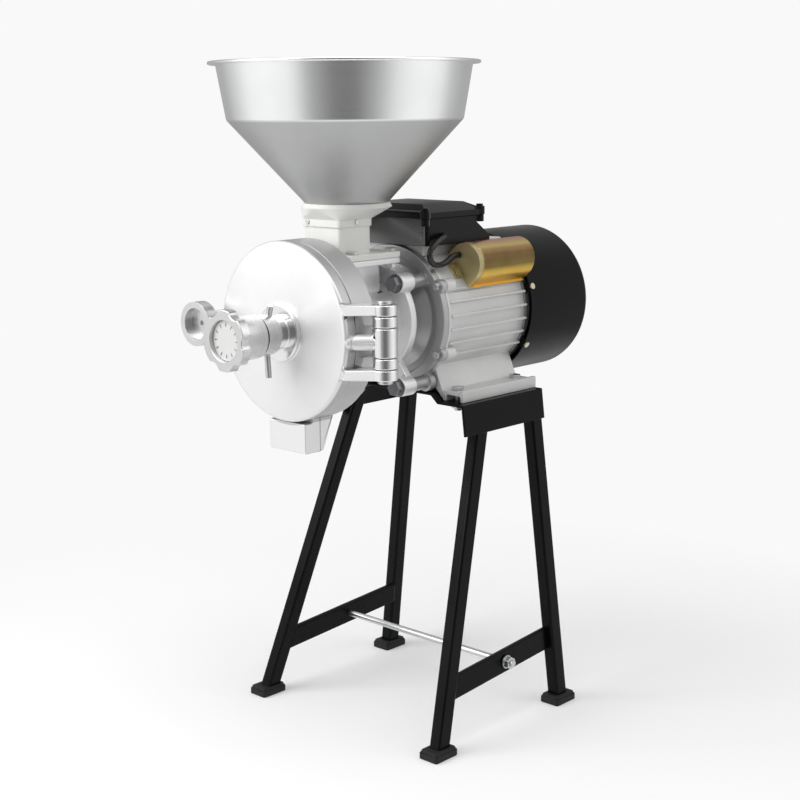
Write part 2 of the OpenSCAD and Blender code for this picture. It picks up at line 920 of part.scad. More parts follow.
// Cast shield with a snout that takes the bearing, a ring and four bosses
module front_shield() {
    ring_in_r = shield_r - shield_ring;
    color("#9fa1a3") difference() {
        union() {
            difference() {
                along_shaft(shield_y) linear_extrude(shield_t) {
                    circle(shield_r);
                    mirror([0, 1]) shield_lugs(lug_r);
                    for (side = [-1, 1]) translate([side * stud_lo.x, -stud_lo.y]) circle(boss_r + boss_pad);
                }
                along_shaft(shield_y) rod(ring_in_r, -over, recess_deep);
            }
            along_shaft(frame_front_y) rod(core_r - fit, -over, register_len);
            along_shaft(snout_y) rod(snout_r, 0, frame_front_y - snout_y);
            along_shaft(snout_y) translate([0, 0, snout_len / 2])
                cylinder(r1 = snout_r, r2 = cone_r, h = snout_len / 2 + recess_deep + over);
            stud_each(snout_y) rod(boss_r, 0, snout_len + recess_deep + over);
        }
        along_shaft(front_bearing_y) rod(front_bearing_r + fit / 2, 0, front_bearing_w + recess_deep);
        along_shaft(front_bearing_y + front_bearing_w) rod(snout_r - shield_t, 0, snout_len);
        along_shaft(snout_y) rod(seal_r, -over, snout_len);
        stud_each(snout_y) rod(hub_bolt_r + fit, -over, hub_bolt_in + over);
        along_shaft(shield_y) translate([0, 0, -over]) mirror([0, 1, 0])
            linear_extrude(shield_t + 2 * over) shield_lugs(lug_bolt_r + gap);
    }
}

// Screws that draw the front shield to the motor frame
module shield_bolts() {
    color("#c9c9c5") for (a = lug_angles) along_shaft(shield_y) rotate(-a) translate([shield_r, 0, 0]) {
        translate([0, 0, -lug_head_h]) linear_extrude(lug_head_h) hexagon(lug_head_af);
        rod(lug_bolt_r, -over, shield_t + lug_len);
    }
}

module rear_shield() {
    hub_r_out = rear_bearing_r + rear_hub_wall;
    color("#9fa1a3") difference() {
        union() {
            along_shaft(frame_back_y) rod(frame_r + rear_rim, 0, rear_shield_t);
            along_shaft(frame_back_y) ring(core_r - frame_rim, core_r - fit, -register_len, over);
            along_shaft(rear_bearing_y) rod(hub_r_out, -rear_hub_lip, rear_bearing_w + frame_rim);
        }
        along_shaft(rear_bearing_y) rod(rear_bearing_r + fit / 2, -rear_hub_lip - over, rear_bearing_w);
        along_shaft(rear_bearing_y) rod(rear_seat_r + rear_rim, 0, rear_bearing_w + rear_bearing_in);
        cover_screws_each(false) rod(small_screw_r + fit, -small_screw_len - over, over);
    }
}

module cooling_fan() {
    color("#2a2a2b") along_shaft(fan_y) difference() {
        union() {
            rod(fan_hub_r, 0, fan_hub_len);
            rod(fan_r, 0, fan_disc_t);
            for (i = [0 : fan_blades - 1]) rotate(i * 360 / fan_blades)
                translate([fan_hub_r - fan_blade_t, -fan_blade_t / 2, 0])
                cube([fan_r - fan_hub_r, fan_blade_t, fan_blade_len]);
        }
        rod(fan_seat_r + fit / 2, -over, fan_hub_len + over);
    }
}

// Places its children on the heads of the small screws: the fan cover's, or the capacitor cover's
module cover_screws_each(on_cap) {
    if (on_cap)
        on_cap_seat() for (side = [-1, 1])
            translate([cap_lip_t, side * cap_screw_x, -cap_tab_len / 2]) rotate([0, 90, 0]) children();
    else
        for (side = [-1, 1], a = cover_screw_angles)
            translate([0, cover_y + cover_screw_in, shaft_z])
                rotate([0, side > 0 ? 90 - a : a - 90, 0])
                translate([0, 0, cover_r]) children();
}

module cover_screws() {
    color("#b59a4a") for (on_cap = [false, true]) cover_screws_each(on_cap) {
        rod(small_head_r, fit, small_head_h);
        rod(small_screw_r, -small_screw_len, over);
    }
}

// Deep drawn cover with a rolled back edge and rings of ventilation slots
module fan_cover() {
    flat_r = cover_r - cover_corner;
    color("#141415") difference() {
        union() {
            along_shaft(cover_y) rotate_extrude() {
                translate([cover_r - cover_t, 0]) square([cover_t, cover_len - cover_corner]);
                translate([0, cover_len - cover_t]) square([flat_r, cover_t]);
                translate([flat_r, cover_len - cover_corner]) intersection() {
                    difference() {
                        circle(cover_corner);
                        circle(cover_corner - cover_t);
                    }
                    square(cover_corner + over);
                }
            }
            cover_spacers();
        }
        along_shaft(cover_back_y) for (share = vent_shares, i = [0 : vent_count - 1])
            rotate((i + share * vent_count) * 360 / vent_count)
            translate([share * cover_r, 0, -cover_t - over])
            linear_extrude(cover_t + 2 * over)
            round_rect(vent_w, share * cover_r * vent_long_share, vent_w / 2 - fit);
        cover_screws_each(false) rod(small_screw_r + gap, -small_screw_len, over);
    }
}

// Four blocks inside the skirt that seat it on the rear shield
module cover_spacers() {
    long = rear_shield_t - cover_gap;
    for (side = [-1, 1], a = cover_screw_angles) along_shaft(cover_y) intersection() {
        ring(frame_r + rear_rim + fit, cover_r - cover_t / 2, 0, long);
        rotate(side > 0 ? -a : 180 + a) translate([0, -spacer_w / 2, 0]) cube([cover_r, spacer_w, long]);
    }
}

// Side section of the terminal box, flared at the foot of its back wall
module box_section(inset) {
    back = box_len - box_waist;
    polygon([
        [inset, inset],
        [box_len + box_flare - 2 * inset, inset],
        [box_len + box_flare - 2 * inset, box_waist_h],
        [back - inset, box_h - box_waist_h - box_t],
        [box_len - inset, box_h - box_t],
        [box_len - inset, box_h + (inset > 0 ? over : 0)],
        [inset, box_h + (inset > 0 ? over : 0)]
    ]);
}

module terminal_box() {
    color("#19191a") difference() {
        union() {
            intersection() {
                translate([-box_w / 2, box_y, box_z]) rotate([90, 0, 90])
                    linear_extrude(box_w) box_section(0);
                translate([0, box_mid_y + box_flare / 2, box_z])
                    linear_extrude(box_h) round_rect(box_w, box_len + box_flare, box_corner);
            }
            translate([0, box_mid_y, box_z]) lid_each() rod(box_lug_r, box_h - box_lug_h, box_h);
        }
        translate([box_t - box_w / 2, box_y, box_z]) rotate([90, 0, 90])
            linear_extrude(box_w - 2 * box_t) box_section(box_t);
        translate([0, box_mid_y, box_z - over])
            linear_extrude(box_t + 2 * over) round_rect(wire_hole_w, wire_hole_d, leg_corner);
        gland_place() rod(gland_neck_r, -box_t - over, over);
        translate([0, box_mid_y, box_z]) lid_each()
            rod(lid_screw_r + fit, box_h - lid_screw_in, box_h + over);
        translate([box_w / 2, lead_route[0].y, shaft_z + lead_route[0].z]) rotate([0, 90, 0])
            rod(lead_r + fit, -box_t - over, over);
    }
}

// Mouth of the mains cable gland, in the left wall of the terminal box
module gland_place() {
    translate([-box_w / 2, box_y + gland_in, box_z + box_h / 2]) rotate([0, -90, 0]) children();
}

module cable_gland() {
    color("#202021") gland_place() difference() {
        union() {
            rod(gland_neck_r - fit, -box_t - gland_nut_h, over);
            linear_extrude(gland_hex_h) hexagon(2 * gland_r);
            rod(gland_cap_r, gland_hex_h - over, gland_hex_h + gland_cap_h);
            translate([0, 0, -box_t - gland_nut_h]) linear_extrude(gland_nut_h) hexagon(2 * gland_r);
        }
        rod(gland_bore_r, -box_t - gland_nut_h - over, gland_hex_h + gland_cap_h + over);
    }
}

// Places its children on the four screw lugs of the lid
module lid_each() {
    for (x = [-1, 1], y = [-1, 1])
        translate([x * (box_w / 2 - lid_lug_in), y * (box_len / 2 + lid_lug_in), 0]) children();
}

// Block whose sides slope in, between two heights
module lid_hill(w, d, low, high) {
    intersection() {
        translate([0, d / 2, 0]) rotate([90, 0, 0]) linear_extrude(d)
            polygon([[-w / 2, low], [w / 2, low], [w / 2 - lid_slope, high], [lid_slope - w / 2, high]]);
        rotate([90, 0, 90]) translate([0, 0, -w / 2]) linear_extrude(w)
            polygon([
                [-d / 2, low], [d / 2, low], [d / 2 - lid_end_slope, high], [lid_end_slope - d / 2, high]
            ]);
    }
}

// Lid with a raised middle and a screw lug at each corner
module terminal_lid() {
    wide = box_w + 2 * lid_over;
    long = box_len + 2 * lid_over;
    hollow = 2 * (box_t + lid_over);
    color("#19191a") translate([0, box_mid_y, box_z + box_h]) difference() {
        union() {
            linear_extrude(lid_lip) round_rect(wide, long, box_corner);
            lid_hill(wide - 2 * lid_rim, long - 2 * lid_rim, lid_lip - fit, lid_h);
            lid_each() rod(lid_lug_r, 0, lid_lip + lid_lug_h);
        }
        translate([0, 0, -over]) linear_extrude(lid_lip - box_t + over)
            round_rect(wide - hollow, long - hollow, leg_corner);
        translate([0, 0, -box_t])
            lid_hill(wide - hollow - box_t, long - hollow - box_t, lid_lip - over, lid_h);
        lid_each() rod(lid_screw_r + fit, -over, lid_lip + lid_lug_h + over);
    }
}

module terminal_lid_screws() {
    top = lid_lip + lid_lug_h;
    color("#3a3a3b") translate([0, box_mid_y, box_z + box_h]) lid_each() {
        rod(lid_head_r, top, top + lid_head_h);
        rod(lid_screw_r, -lid_screw_in, top + over);
    }
}

module terminal_block() {
    color("#7a5233") translate([0, box_mid_y + block_back, box_z + box_t]) {
        linear_extrude(block_h) round_rect(block_w, block_d, leg_corner);
        for (x = [-1, 0, 1], y = [-1, 1]) translate([x * post_pitch, y * block_d / 4, 0])
            rod(post_r, block_h - over, block_h + post_h);
    }
}

// Places its children on the seat of the capacitor, +X outwards and +Z to the back
module on_cap_seat() {
    along_shaft(cap_y) rotate(-cap_angle) translate([cap_seat, 0, 0]) mirror([0, 1, 0]) children();
}

// Domed outline of the capacitor cover, X outwards
module cap_outline(grow) {
    translate([cap_rise, 0]) circle(cap_r + grow);
    translate([0, -cap_r - grow]) square([cap_rise, 2 * (cap_r + grow)]);
}

// Keeps what lies outside the seat of an outline
module cap_outer() {
    intersection() {
        children();
        translate([0, -2 * cap_r]) square(4 * cap_r);
    }
}

// The same, with an overrun below the seat for the hollow
module cap_inner() {
    intersection() {
        children();
        translate([-over, -2 * cap_r]) square(4 * cap_r);
    }
}

module capacitor_cover() {
    lead_end = lead_route[len(lead_route) - 1];
    color("#b08a45") difference() {
        on_cap_seat() difference() {
            union() {
                linear_extrude(cap_end + over) cap_outer() cap_outline(-cap_end_in);
                translate([0, 0, cap_end]) linear_extrude(cap_len - cap_end) cap_outer() cap_outline(0);
                for (s = [-1, 1])
                    translate([0, s * (cap_r - cap_t + cap_lip / 2) - (cap_t + cap_lip) / 2, 0])
                    cube([cap_lip_t, cap_t + cap_lip, cap_len]);
                translate([0, -cap_tab_w / 2, -cap_tab_len])
                    cube([cap_lip_t, cap_tab_w, cap_tab_len + over]);
            }
            translate([0, 0, cap_t]) linear_extrude(cap_end) cap_inner() cap_outline(-cap_end_in - cap_t);
            translate([0, 0, cap_end]) linear_extrude(cap_len - cap_end - cap_t)
                cap_inner() cap_outline(-cap_t);
        }
        cover_screws_each(true) rod(small_screw_r + gap, -cap_lip_t - over, over);
        translate([lead_end.x, cap_y, shaft_z + lead_end.z]) rotate([-90, 0, 0])
            rod(lead_r + slack, -over, cap_t + over);
    }
}

module capacitor() {
    color("#d8d8d2") on_cap_seat() translate([cap_core_r + gap, 0, cap_core_gap]) {
        rod(cap_core_r, 0, cap_len - 2 * cap_core_gap);
        for (s = [-1, 1]) translate([0, s * cap_post_off, 0]) rod(cap_post_r, -cap_post_h, over);
    }
}

// Rings of points square to the route, joined into one closed tube
module sweep(points, r, sides) {
    last = len(points) - 1;
    heading = [for (i = [0 : last])
        let (d = points[min(i + 1, last)] - points[max(i - 1, 0)]) d / norm(d)];
    rings = [for (i = [0 : last], k = [0 : sides - 1])
        let (
            across = cross(heading[i], [0.2, 1, 0.1]),
            u = across / norm(across),
            v = cross(heading[i], u),
            a = 360 * k / sides
        ) points[i] + r * (cos(a) * u + sin(a) * v)];
    faces = concat(
        [[for (k = [0 : sides - 1]) k]],
        [for (i = [0 : last - 1], k = [0 : sides - 1], half = [0, 1])
            let (a = i * sides + k, b = i * sides + (k + 1) % sides)
            half == 0 ? [a, a + sides, b + sides] : [a, b + sides, b]],
        [[for (k = [sides - 1 : -1 : 0]) last * sides + k]]
    );
    polyhedron(points = rings, faces = faces, convexity = 6);
}

module capacitor_lead() {
    color("#111112") translate([0, 0, shaft_z]) sweep(lead_route, lead_r, lead_sides);
}

// Outline of one flat hinge arm of the door, seen from above
module door_arm_outline() {
    polygon([
        [drum_r * arm_root_share, door_front_y + over],
        [drum_r - over, door_front_y + over],
        [hinge_x - knuckle_r / 6, hinge_y - knuckle_r + gap],
        [hinge_x, hinge_y],
        [hinge_x - knuckle_r + over, hinge_y],
        [drum_r - arm_root, door_back_y],
        [drum_r * arm_root_share, door_back_y]
    ]);
}

module house_arm_outline() {
    polygon([
        [drum_r * arm_root_share, door_back_y + arm_start],
        [drum_r - arm_start, door_back_y + arm_start],
        [hinge_x - knuckle_r + over, hinge_y - knuckle_r / 3],
        [hinge_x, hinge_y],
        [hinge_x - knuckle_r / 6, hinge_y + knuckle_r - gap],
        [drum_r - 2 * arm_root, drum_back_y - arm_root / 4],
        [drum_r * arm_root_share, drum_back_y - arm_root / 4]
    ]);
}

module knuckle(low, h) {
    translate([hinge_x, hinge_y, low]) cylinder(r = knuckle_r, h = h);
}

module hinge_bore() {
    translate([hinge_x, hinge_y, stage_z[0]]) rod(hinge_pin_r + fit, -over, stack_h + over);
}

module hinge_pin() {
    color("#c2c3c4") translate([hinge_x, hinge_y, stage_z[0]]) {
        rod(hinge_pin_r, -hinge_head_t, stack_h + hinge_head_t);
        rod(hinge_head_r, -hinge_head_t, -gap);
        rod(hinge_head_r, stack_h + gap, stack_h + hinge_head_t);
    }
}

// Rectangular duct between two levels, from the front wall to the back wall
module duct(hw, y0, y1, low, high, r) {
    translate([0, (y0 + y1) / 2, low]) linear_extrude(high - low) round_rect(2 * hw, y1 - y0, r);
}

// Solid with a side section in the Y-Z plane and a half-width in X
module side_plate(hw, points) {
    translate([-hw, 0, 0]) rotate([90, 0, 90]) linear_extrude(2 * hw) polygon(points);
}

// Discharge spout: its front reaches under the door and its back slants to the drum
module spout_body() {
    high = shaft_z - drum_in_r + spout_t;
    seam_y = door_back_y + gap;
    side_plate(spout_w / 2 - spout_inset, [
        [spout_y0 + spout_t, spout_z], [spout_y1, spout_z], [spout_top_y1, high], [seam_y, high],
        [seam_y, spout_roof_z], [spout_y0 + spout_t, spout_roof_z]
    ]);
    side_plate(spout_w / 2, [
        [spout_y0, spout_z], [spout_step_y, spout_z], [spout_step_y, high], [seam_y, high],
        [seam_y, spout_roof_z], [spout_y0, spout_roof_z]
    ]);
}

module spout_bore() {
    high = shaft_z - drum_in_r + cast_t;
    lip_y = door_back_y + spout_t;
    side_plate(spout_w / 2 - spout_t - spout_inset, [
        [spout_y0 + spout_t, spout_z - over], [spout_y1 - spout_t, spout_z - over],
        [drum_back_y - cast_t, high], [lip_y, high],
        [lip_y, spout_roof_z - spout_t], [spout_y0 + spout_t, spout_roof_z - spout_t]
    ]);
}

// Rear flange of the barrel with an arm to each of its four lugs
module rear_flange_outline() {
    circle(rear_flange_r);
    for (side = [-1, 1], p = [stud_hi, stud_lo]) {
        translate([side * p.x, -p.y]) circle(boss_r + boss_pad);
        rotate(atan2(-p.y, side * p.x)) translate([0, -boss_r]) square([norm(p), 2 * boss_r]);
    }
}

module clamp_place(y) {
    translate([-clamp_x, y, clamp_z]) rotate([-90, 0, 0]) children();
}

// Rounded ear that carries the clamp stud, joined to the drum's rim
module clamp_ear(y, thick) {
    clamp_place(y) linear_extrude(thick) {
        circle(ear_r);
        translate([0, -ear_r]) square([clamp_reach + ear_root, 2 * ear_r]);
    }
}

module mill_housing() {
    seam_y = door_back_y + gap;
    color("#cfd0d1") difference() {
        union() {
            along_shaft(seam_y) rod(drum_r, 0, drum_back_y - seam_y);
            along_shaft(drum_back_y) rod(barrel_r, -over, barrel_back_y - drum_back_y + over);
            along_shaft(barrel_back_y) linear_extrude(rear_flange_t) rear_flange_outline();
            stud_each(rear_lug_front_y) rod(boss_r + boss_pad, 0, rear_lug_len);
            duct(neck_hw + throat_wall, neck_y0 + throat_wall, neck_y1 + throat_back, shaft_z,
                flange_z + over, flange_corner);
            duct(flange_hw, flange_y0, flange_y1, flange_z, flange_top_z, flange_corner);
            spout_body();
            for (z = [stage_z[1], stage_z[3]]) {
                knuckle(z, arm_t);
                translate([0, 0, z]) linear_extrude(arm_t) house_arm_outline();
            }
            clamp_ear(door_back_y + ear_back, house_ear_t);
        }
        along_shaft(door_back_y) rod(drum_in_r, 0, drum_depth - cast_t);
        along_shaft(drum_back_y - cast_t)
            rod(barrel_in_r, -over, barrel_back_y - barrel_end_t - drum_back_y + cast_t);
        along_shaft(barrel_back_y) rod(shaft_r + seal_lip, -barrel_end_t - over, rear_flange_t);
        along_shaft(barrel_back_y) rod(seal_r, seal_lip - barrel_end_t, rear_flange_t + over);
        duct(neck_hw - neck_t, neck_y0 + neck_t, neck_y1 - neck_t, shaft_z, flange_top_z + over, leg_corner);
        spout_bore();
        flange_each() rod(flange_bolt_r + gap, flange_z - over, flange_top_z + over);
        stud_each(rear_lug_front_y) rod(hub_bolt_r + gap, -over, rear_lug_len + over);
        hinge_bore();
        clamp_place(door_back_y + ear_back) rod(stud_r + slack, -over, house_ear_t + over);
    }
}

module flange_each() {
    for (side = [-1, 1], y = flange_bolt_y) translate([side * flange_bolt_x, y, 0]) children();
}

module flange_bolts() {
    top = flange_top_z + flange_t;
    color("#c9c9c5") flange_each() {
        translate([0, 0, top]) linear_extrude(flange_head_h) rotate(30) hexagon(flange_bolt_af);
        rod(flange_bolt_r, flange_z - flange_bolt_tail, top + over);
        translate([0, 0, flange_z - flange_nut_h])
            linear_extrude(flange_nut_h) rotate(30) hexagon(flange_bolt_af);
    }
}

// Bolts from the mill casting into the motor's front shield
module housing_bolts() {
    color("#8d8f92") stud_each(rear_lug_front_y) {
        rod(hub_washer_r, -washer_t, 0);
        translate([0, 0, -washer_t - hub_bolt_h]) linear_extrude(hub_bolt_h) hexagon(hub_bolt_af);
        rod(hub_bolt_r, -washer_t - over, rear_lug_len + hub_bolt_in);
    }
}

module shaft_seal() {
    color("#2b2522") along_shaft(barrel_back_y + seal_lip - barrel_end_t) difference() {
        ring(shaft_r + fit, seal_r - fit, 0, seal_w);
        ring(shaft_r + seal_wall, seal_r - seal_wall, seal_wall, seal_w + over);
    }
}

module auger() {
    long = auger_end_y - auger_start_y;
    tip_r = barrel_in_r - auger_side;
    color("#9a9c9f") along_shaft(auger_start_y) difference() {
        union() {
            rod(auger_sleeve_r, 0, long);
            linear_extrude(long - auger_end, twist = -360 * auger_turns, slices = 48, $fn = 16)
                polygon([
                    [auger_sleeve_r - auger_side, -auger_root],
                    [tip_r, -auger_tip],
                    [tip_r, auger_tip],
                    [auger_sleeve_r - auger_side, auger_root]
                ]);
        }
        rod(shaft_r + fit / 2, -over, long + over);
    }
}

// Places its children on the three screws of a burr
module burr_screw_each() {
    for (i = [0 : 2]) rotate(60 + i * 120) translate([burr_screw_ring, 0, 0]) children();
}

// Spider that carries the turning burr and lets the grain through
module burr_carrier() {
    color("#8f9194") along_shaft(carrier_y) difference() {
        linear_extrude(carrier_t) {
            difference() {
                circle(burr_r);
                circle(eye_r);
            }
            circle(carrier_hub_r);
            for (i = [0 : 2]) rotate(i * 120) translate([shaft_r, -carrier_arm_w / 2])
                square([eye_r - shaft_r + over, carrier_arm_w]);
        }
        rod(stub_r + fit / 2, -over, carrier_t / 2 + over);
        rod(shaft_r + fit / 2, carrier_t / 2, carrier_t + over);
        burr_screw_each() rod(burr_screw_r + fit, -over, carrier_t + over);
    }
}

// Ring with slanted grooves on its grinding side, which faces +Z
module burr() {
    head_z = burr_t - groove_deep - burr_head_h;
    difference() {
        ring(eye_r, burr_r, 0, burr_t);
        for (i = [0 : groove_count - 1]) rotate(i * 360 / groove_count)
            translate([eye_r - groove_w, -groove_w / 2, burr_t - groove_deep]) rotate(groove_angle)
            cube([burr_r, groove_w, groove_deep + over]);
        burr_screw_each() {
            rod(burr_screw_r + gap, -over, burr_t);
            rod(burr_head_r + gap, head_z, burr_t + over);
        }
    }
}

// The turning burr's side of the gap, with +Z towards the fixed burr
module on_turning() {
    along_shaft(turning_y + burr_t) mirror([0, 0, 1]) children();
}

module turning_burr() {
    color("#77797c") on_turning() burr();
}

module fixed_burr() {
    color("#77797c") along_shaft(fixed_y) burr();
}

// One burr screw with a sunk head and its shank in the piece behind the burr
module burr_screw(depth) {
    head_z = burr_t - groove_deep - burr_head_h;
    rod(burr_head_r, head_z, head_z + burr_head_h);
    rod(burr_screw_r, -depth, head_z + over);
}

module burr_screws() {
    color("#8d8f92") on_turning() burr_screw_each() burr_screw(carrier_t);
}

module fixed_burr_screws() {
    color("#8d8f92") along_shaft(fixed_y) burr_screw_each() burr_screw(plate_t);
}

module shaft_nut() {
    color("#a6a8aa") along_shaft(turning_y - shaft_nut_lip) difference() {
        linear_extrude(burr_t + shaft_nut_lip) hexagon(shaft_nut_af);
        rod(stub_r + fit, -over, burr_t + over);
    }
}

// Plate that carries the fixed burr and slides on two guide pins
module feed_plate() {
    color("#9a9c9f") along_shaft(plate_y) difference() {
        rod(plate_r, 0, plate_t);
        rod(nose_r + fit, -over, plate_t + over);
        burr_screw_each() rod(burr_screw_r + fit, -over, plate_t + over);
        for (side = [-1, 1]) translate([side * guide_ring, 0, 0])
            rod(guide_r + slack, -over, plate_t - guide_floor);
    }
}

module mill_door() {
    color("#e6e6e6") difference() {
        union() {
            along_shaft(door_front_y) rotate_extrude() {
                square([drum_r - door_rim, door_depth]);
                translate([0, door_rim]) square([drum_r, door_depth - door_rim]);
                translate([drum_r - door_rim, door_rim]) circle(door_rim, $fn = 48);
            }
            along_shaft(door_front_y) rod(hub_r, -hub_t, over);
            along_shaft(neck_y) rod(neck_r, 0, neck_len + over);
            for (z = [stage_z[0], stage_z[4]]) {
                knuckle(z, arm_t);
                translate([0, 0, z]) linear_extrude(arm_t) door_arm_outline();
            }
            knuckle(stage_z[2], mid_t);
            round_arm();
            clamp_ear(door_front_y + ear_front, door_depth - ear_front - ear_back);
        }
        along_shaft(door_front_y) rod(drum_in_r - door_rim, cast_t, door_depth + over);
        along_shaft(door_back_y) rod(drum_r + gap, 0, drum_depth);
        along_shaft(neck_y) rod(screw_r + slack, -over, neck_len + hub_t + door_depth);
        along_shaft(door_front_y) for (side = [-1, 1]) translate([side * guide_ring, 0, 0])
            rod(guide_r + fit / 2, cast_t - guide_in, cast_t + over);
        hinge_bore();
        clamp_place(door_front_y) rod(stud_r + slack, 0, door_depth + over);
    }
}

// Round stem of the door's middle knuckle, with a domed end on the rim
module round_arm() {
    start = [drum_r - arm_start, door_front_y + arm_depth];
    way = [hinge_x, hinge_y] - start;
    translate([start.x, start.y, hinge_mid]) rotate([0, 90, atan2(way.y, way.x)])
        rotate_extrude() {
            square([arm_r, norm(way)]);
            intersection() {
                circle(arm_r);
                translate([0, -arm_r]) square([arm_r, arm_r + over]);
            }
        }
}

module guide_pins() {
    color("#a6a8aa") along_shaft(door_front_y) for (side = [-1, 1])
        translate([side * guide_ring, 0, 0])
        rod(guide_r, cast_t - guide_in, plate_y - door_front_y + guide_tip);
}

// Adjusting screw whose nose carries the feed plate between a shoulder and a clip
module adjust_screw() {
    shoulder_y = plate_y - gap;
    tip = plate_y + plate_t - shoulder_y;
    front = knob_y + dial_deep + dial_floor;
    color("#a9abad") {
        along_shaft(front) rod(screw_r, 0, shoulder_y - front);
        along_shaft(shoulder_y) rod(nose_r, -over, tip + nose_tail);
        along_shaft(shoulder_y) rod(nose_r + clip_side, tip + gap, tip + gap + clip_h);
    }
}

module adjust_knob() {
    color("#d9d9d9") along_shaft(knob_y) difference() {
        union() {
            rod(knob_body_r, 0, knob_len);
            linear_extrude(lobe_t) difference() {
                circle(knob_r);
                for (i = [0 : lobe_count - 1]) rotate(i * 360 / lobe_count)
                    translate([knob_r + notch_r * notch_share, 0]) circle(notch_r);
            }
        }
        rod(dial_r, -over, dial_deep);
        rod(screw_r + fit, dial_deep + dial_floor, knob_len + over);
    }
}

// Dial plate in the knob's face, with raised ticks round it
module knob_dial() {
    color("#e8e8e6") along_shaft(knob_y + dial_deep - dial_t) {
        rod(dial_r - gap, 0, dial_t);
        for (i = [0 : tick_count - 1]) rotate(i * 360 / tick_count)
            translate([dial_r * tick_share, -tick_w / 2, -tick_h])
            cube([dial_r * tick_long_share, tick_w, 2 * tick_h]);
    }
}

// Jam nut with two handle rods, one longer than the other
module lock_ring() {
    color("#c6c7c8") along_shaft(ring_y) difference() {
        union() {
            rod(ring_r, 0, ring_w);
            translate([0, 0, ring_w - bar_r - gap]) {
                rotate([90, 0, bar_up_tilt]) cylinder(r = bar_r, h = bar_up);
                rotate([-90, 0, bar_down_tilt]) cylinder(r = bar_r, h = bar_down);
            }
        }
        rod(screw_r + slack, -over, ring_w + over);
    }
}

// Hand screw of the door clamp: dished knob and its stud, stored backed out
module clamp_knob() {
    whole = clamp_depth + clamp_hub_len;
    color("#dcdcdc") clamp_place(clamp_knob_y) difference() {
        union() {
            rod(clamp_r, 0, clamp_depth);
            rod(clamp_hub_r, 0, whole);
            rod(stud_r, whole - over, door_back_y - clamp_knob_y - gap);
        }
        rod(clamp_r - clamp_rim, -over, clamp_dish);
        rod(stud_hole_r, 0, clamp_dish + stud_hole_deep);
    }
}

module clamp_washer() {
    color("#c9c9c5") clamp_place(clamp_washer_y) ring(stud_r + fit, clamp_washer_r, 0, clamp_washer_t);
}

module inlet_neck() {
    top = flange_top_z + flange_t;
    color("#eeeeea") difference() {
        union() {
            duct(flange_hw, flange_y0, flange_y1, flange_top_z, top, flange_corner);
            duct(neck_hw, neck_y0, neck_y1, top - over, neck_top, flange_corner);
        }
        duct(neck_hw - neck_t, neck_y0 + neck_t, neck_y1 - neck_t, flange_top_z - over, neck_top + over,
            leg_corner);
        flange_each() rod(flange_bolt_r + gap, flange_top_z - over, top + over);
        collar_screw_each() rod(collar_screw_r + fit, -collar_screw_len - over, over);
    }
}

// Sheet collar that joins the square neck to the round hopper
module hopper_collar() {
    low = neck_top - collar_skirt;
    side = gap + collar_t;
    color("#e4e4e0") difference() {
        union() {
            hull() {
                duct(neck_hw + side, neck_y0 - side, neck_y1 + side, neck_top, neck_top + over,
                    collar_corner, $fn = 32);
                translate([0, hopper_y, base_z - collar_chamfer]) {
                    rod(collar_r, -over, 0, $fn = 64);
                    rod(throat_r + collar_edge, 0, collar_chamfer, $fn = 64);
                }
            }
            duct(neck_hw + side, neck_y0 - side, neck_y1 + side, low, neck_top + over, collar_corner);
        }
        duct(neck_hw + gap, neck_y0 - gap, neck_y1 + gap, low - over, neck_top, flange_corner);
        hull() {
            duct(neck_hw - neck_t, neck_y0 + neck_t, neck_y1 - neck_t, neck_top - over, neck_top + gap,
                leg_corner, $fn = 32);
            translate([0, hopper_y, base_z - spigot - over])
                cylinder(r = throat_r - collar_bore_in, h = over, $fn = 64);
        }
        translate([0, hopper_y, base_z]) rod(throat_r + gap, -spigot, over);
        collar_screw_each() rod(collar_screw_r + gap, -side - over, over);
    }
}

// Places its children on the four screws of the collar's skirt, +Z outwards
module collar_screw_each() {
    side = gap + collar_t;
    mid_y = (neck_y0 + neck_y1) / 2;
    for (turn = [0, 180]) translate([0, mid_y, neck_top - collar_screw_low]) rotate(turn) {
        translate([-collar_screw_x, neck_y0 - side - mid_y, 0]) rotate([90, 0, 0]) children();
        translate([neck_hw + side, 0, 0]) rotate([0, 90, 0]) children();
    }
}

module collar_screws() {
    color("#b9b9b6") collar_screw_each() {
        rod(collar_head_r, 0, collar_head_h);
        rod(collar_screw_r, -collar_screw_len, over);
    }
}

// Spun hopper: bottom spigot, cone, upper band and rolled rim
module hopper() {
    sheet = hopper_t;
    color("#b9bbbd") translate([0, hopper_y, 0]) rotate_extrude($fn = 144) {
        polygon([
            [throat_r - sheet, base_z - spigot],
            [throat_r, base_z - spigot],
            [throat_r, base_z],
            [waist_r, waist_z],
            [band_top_r, hopper_top - sheet],
            [hopper_r - rim_r, hopper_top - sheet],
            [hopper_r - rim_r, hopper_top],
            [band_top_r - sheet, hopper_top],
            [waist_r - sheet, waist_z + sheet / 2],
            [throat_r - sheet, base_z + sheet / 2]
        ]);
        translate([hopper_r - rim_r, hopper_top - rim_r]) circle(rim_r, $fn = 48);
    }
}

